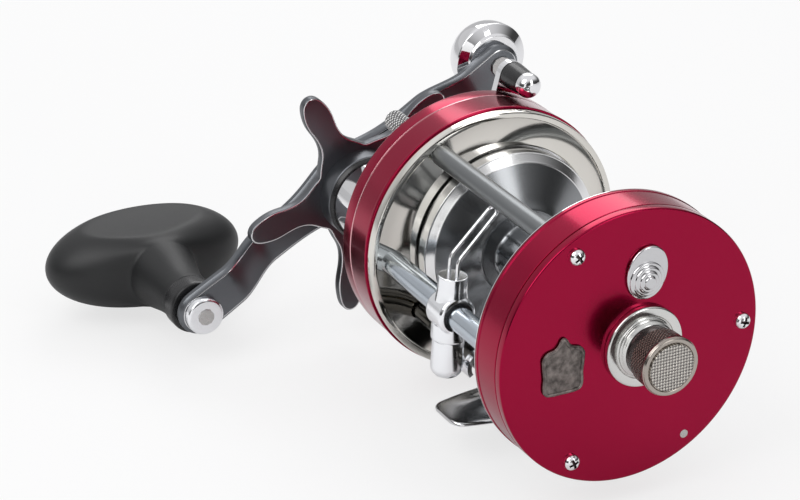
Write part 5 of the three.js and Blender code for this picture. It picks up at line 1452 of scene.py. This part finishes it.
    def _fittings(self) -> None:
        """The disc and the collar on the grip's axis."""
        turning = {"centre": self.grip_axis, "smooth": 50}
        low, high = ends("knob_disc")
        rim, hollow = high - GAP, high - 0.2
        disc = [(low, 0, 0), (low, 4.75, 0), (high - 0.3, 4.75, 0.35), (rim, 4.1, 0.15), (rim, 1.5, 0.1)]
        disc += [(hollow, 1.3, 0.05), (hollow, 0, 0)]
        self.shop.lathe("knob_disc_cap", disc, BRIGHT_SATIN, "crank", "knob_disc", **turning)
        low, high = ends("knob_collar")
        collar = [(high - 0.1, 2.6, 0), (high - 0.1, 6.65, 0.3), (high - 0.9, 6.83, 0.2)]
        collar += [(low + 0.12, 6.83, 0.4), (low + GAP, 2.6, 0)]
        self.shop.lathe("black_knob_collar", collar, BLACK, "crank", "knob_collar", **turning)

    def _grip(self) -> None:
        """The rubber grip, an ellipsoid that flows out of its stem.

        Half-axes at station x: a(x) = A (1 - u^2)^0.46, b(x) = B (1 - u^2)^0.46 with
        u = (x - centre) / depth, replaced near the arm by the stem's radius through a smooth maximum.
        """
        tip, far = ends("power_knob")
        depth, long_half, short_half, end = 13.75, 26.1, 12.5, 6.1
        centre = tip + depth + 0.02
        bow = centre - depth * np.cos(np.linspace(0.02, math.pi / 2, 60))
        x = np.concatenate([bow, np.linspace(centre, far, 90)[1:]])
        u = np.clip((x - centre) / depth, -1, 1)
        egg = np.sqrt(np.clip(1 - u**2, 0, 1)) ** 0.92
        stem = 6.5 + 3.2 * smooth_step(far - x, 2.5, 22.5)
        half_y, half_z = (
            np.where(x > centre, self._larger(axis * egg, stem, width), axis * egg)
            for axis, width in ((long_half, 5.0), (short_half, 2.6))
        )
        half_y[-1] = half_z[-1] = end
        grip = loft(x, half_y, half_z, 220).warped(self._thumb_rest).moved(0.0, *self.grip_axis)
        self.shop.add("power_grip", grip, RUBBER, "knob", "power_knob", 50)

    @staticmethod
    def _thumb_rest(points: np.ndarray) -> np.ndarray:
        """Press a shallow dish into the grip's upper side.

        With e = z - 9.9, the height becomes 9.9 + 0.44 e - 0.56 sqrt(e^2 + 0.4^2), which leaves low points
        as they are.
        """
        level = 9.9
        over = points[:, 2] - level
        pressed = level + 0.44 * over - 0.56 * np.sqrt(over**2 + 0.4**2)
        out = points.copy()
        out[:, 2] = np.where(over > -6.0, pressed, points[:, 2])
        return out

    @staticmethod
    def _larger(a: np.ndarray, b: np.ndarray, width: float) -> np.ndarray:
        """A smooth maximum: the larger plus w h^2 / 4, with h = 1 - |a - b| / w where that is above 0."""
        near = np.clip(1 - np.abs(a - b) / width, 0, 1)
        return np.maximum(a, b) + width * near**2 / 4


@dataclass
class FreeSpoolLever(Group):
    """The free-spool lever's black sleeve and its bright end cap; its plate keeps its CAD shape."""

    def build(self) -> None:
        """Build the sleeve and the cap, with stations measured from each one's lower end."""
        low, high = ends("lever_sleeve")
        end = high - low
        sleeve = [(0.05, 0, 0), (0.05, 3.1, 0), (0.45, 3.35, 0.25), (end - 1.2, 3.0, 0.3)]
        sleeve += [(end - 0.2, 2.92, 0.1), (end, 2.8, 0.1), (end, 0, 0)]
        self.shop.lathe("black_lever_sleeve", sleeve, BLACK, "lever", "lever_sleeve", low)
        low, high = ends("lever_cap")
        end = high - low
        cap = [(0.0, 0, 0), (0.0, 3.02, 0), (0.4, 3.06, 0.1), (end - 1.5, 3.0, 0.6)]
        cap += [(end - 0.5, 2.3, 0.5), (end - 0.06, 1.1, 0.4), (end - 0.03, 0, 0)]
        self.shop.lathe("bright_lever_cap", cap, CHROME, "lever", "lever_cap", low)


# ---- Studio ----


@dataclass(frozen=True)
class Panel:
    """One soft panel light: its name, place and size, in millimetres and metres, and its power in watts."""

    name: str
    at: tuple[float, float, float]
    size: tuple[float, float]
    watts: float

    def build(self, target: Vector) -> None:
        """Place the panel so that it faces the target."""
        data = bpy.data.lights.new(self.name, "AREA")
        data.shape = "RECTANGLE"
        data.size, data.size_y = self.size
        data.energy = self.watts
        light = bpy.data.objects.new(self.name, data)
        light.location = Vector(self.at) * MM
        light.rotation_euler = (target - light.location).to_track_quat("-Z", "Y").to_euler()
        bpy.context.scene.collection.objects.link(light)


PANELS = (
    Panel("key", (120.0, -520.0, 620.0), (0.55, 0.55), 2.4),
    Panel("left_panel", (-680.0, -260.0, 430.0), (0.75, 0.6), 0.14),
    Panel("side_strip", (620.0, 250.0, 260.0), (0.16, 0.55), 0.7),
    Panel("back_rim", (-520.0, 280.0, 520.0), (0.5, 0.35), 1.3),
    Panel("front_fill", (620.0, -420.0, 160.0), (0.4, 0.4), 0.45),
)


@dataclass
class Studio:
    """The camera, soft lights and pale floor.

    Attributes:
        eye: the camera's place, in millimetres.
        right: direction of the view's right side.
        up: direction of the view's top.
        back: direction from what is seen to the camera.
        lens: focal length in millimetres.
        target: the point that the panels face, in millimetres.
        floor_z: height of the floor, in metres.
        floor_half: half of the floor's side, in metres.
        floor_glow: how much of the floor is plain white to the lens; the rest takes the reel's shadow.
    """

    eye: tuple[float, float, float] = (506.78, -299.308, 311.166)
    right: tuple[float, float, float] = (0.454794, 0.890594, -0.001981)
    up: tuple[float, float, float] = (-0.376512, 0.194286, 0.90581)
    back: tuple[float, float, float] = (0.807094, -0.411211, 0.423679)
    lens: float = 126.588
    target: tuple[float, float, float] = (-20.0, -10.0, 30.0)
    floor_z: float = -0.0105
    floor_half: float = 3.0
    floor_glow: float = 0.72

    def build(self) -> None:
        """Set the camera, world, lights and floor."""
        self._camera()
        self._world()
        for panel in PANELS:
            panel.build(Vector(self.target) * MM)
        self._floor()

    def _camera(self) -> None:
        """Place the camera."""
        data = bpy.data.cameras.new("studio_camera")
        data.lens = self.lens
        data.sensor_width = 36.0
        data.clip_start, data.clip_end = 0.01, 10.0
        camera = bpy.data.objects.new("studio_camera", data)
        turn = Matrix((self.right, self.up, self.back)).transposed().to_4x4()
        camera.matrix_world = Matrix.Translation(Vector(self.eye) * MM) @ turn
        bpy.context.scene.collection.objects.link(camera)
        bpy.context.scene.camera = camera
        bpy.context.scene.view_settings.view_transform = "Standard"

    @staticmethod
    def _world() -> None:
        """Soft room light: bright above and along the left, dark elsewhere, white where the lens looks."""
        world = bpy.data.worlds.new("studio_room")
        bpy.context.scene.world = world
        world.use_nodes = True
        graph = Graph(world.node_tree)
        shade = world.node_tree.nodes["Background"]
        split = graph.parts(graph.add("TexCoord").outputs["Generated"])

        def rise(axis: str, start: float, end: float, top: float) -> Socket:
            """Return a value that rises smoothly from 0 to the top along one axis."""
            span = graph.add("MapRange")
            span.interpolation_type = "SMOOTHSTEP"
            limits = {"From Min": start, "From Max": end, "To Max": top, "Value": split[axis]}
            for name, value in limits.items():
                graph.feed(span.inputs[name], value)
            return span.outputs["Result"]

        left = graph.math("MULTIPLY", rise("X", -0.2, -0.75, 0.5), rise("Z", -0.16, -0.03, 1.0))
        light = graph.math("MAXIMUM", rise("Z", 0.12, 0.75, 0.8), left)
        room = graph.ramp(light, (0.05, 0.05, 0.05), (1.0, 1.0, 1.02))
        seen = graph.add("LightPath").outputs["Is Camera Ray"]
        graph.feed(shade.inputs["Color"], graph.blend(seen, room, (1.0, 1.0, 1.0, 1.0)))
        shade.inputs["Strength"].default_value = 1.0

    def _floor(self) -> None:
        """A flat pale floor that is nearly white to the lens and keeps the reel's faint shadow."""
        mesh = bpy.data.meshes.new("pale_floor")
        w, z = self.floor_half, self.floor_z
        mesh.from_pydata([(-w, -w, z), (w, -w, z), (w, w, z), (-w, w, z)], [], [(0, 1, 2, 3)])
        floor = bpy.data.objects.new("pale_floor", mesh)
        bpy.context.scene.collection.objects.link(floor)
        paper = bpy.data.materials.new("floor_paper")
        paper.use_nodes = True
        graph = Graph(paper.node_tree)
        shader = paper.node_tree.nodes["Principled BSDF"]
        cloud = graph.noise(graph.point(), 6.0)
        graph.feed(shader.inputs["Base Color"], graph.ramp(cloud, (0.78, 0.78, 0.78), (0.82, 0.82, 0.82)))
        shader.inputs["Roughness"].default_value = 0.9
        shader.inputs["Specular IOR Level"].default_value = 0.0
        glow = graph.add("Emission")
        glow.inputs["Color"].default_value = (1.0, 1.0, 1.0, 1.0)
        seen = graph.add("LightPath").outputs["Is Camera Ray"]
        mix = graph.add("MixShader")
        share = graph.math("MULTIPLY", seen, self.floor_glow)
        sources = (share, shader.outputs["BSDF"], glow.outputs["Emission"])
        for socket, value in zip(mix.inputs, sources):
            graph.feed(socket, value)
        graph.feed(paper.node_tree.nodes["Material Output"].inputs["Surface"], mix.outputs["Shader"])
        mesh.materials.append(paper)


def main() -> None:
    """Build the reel over its frame, group by group."""
    logging.basicConfig(level=logging.INFO, format="%(message)s")
    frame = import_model()
    Studio().build()
    shop = Workshop(frame, Layout.read())
    for group in (SideCovers, PillarFrame, Spool, TensionControl, Clicker, LineGuide, Crank, FreeSpoolLever):
        group(shop).build()
    shop.dress()


if __name__ == "__main__":
    main()
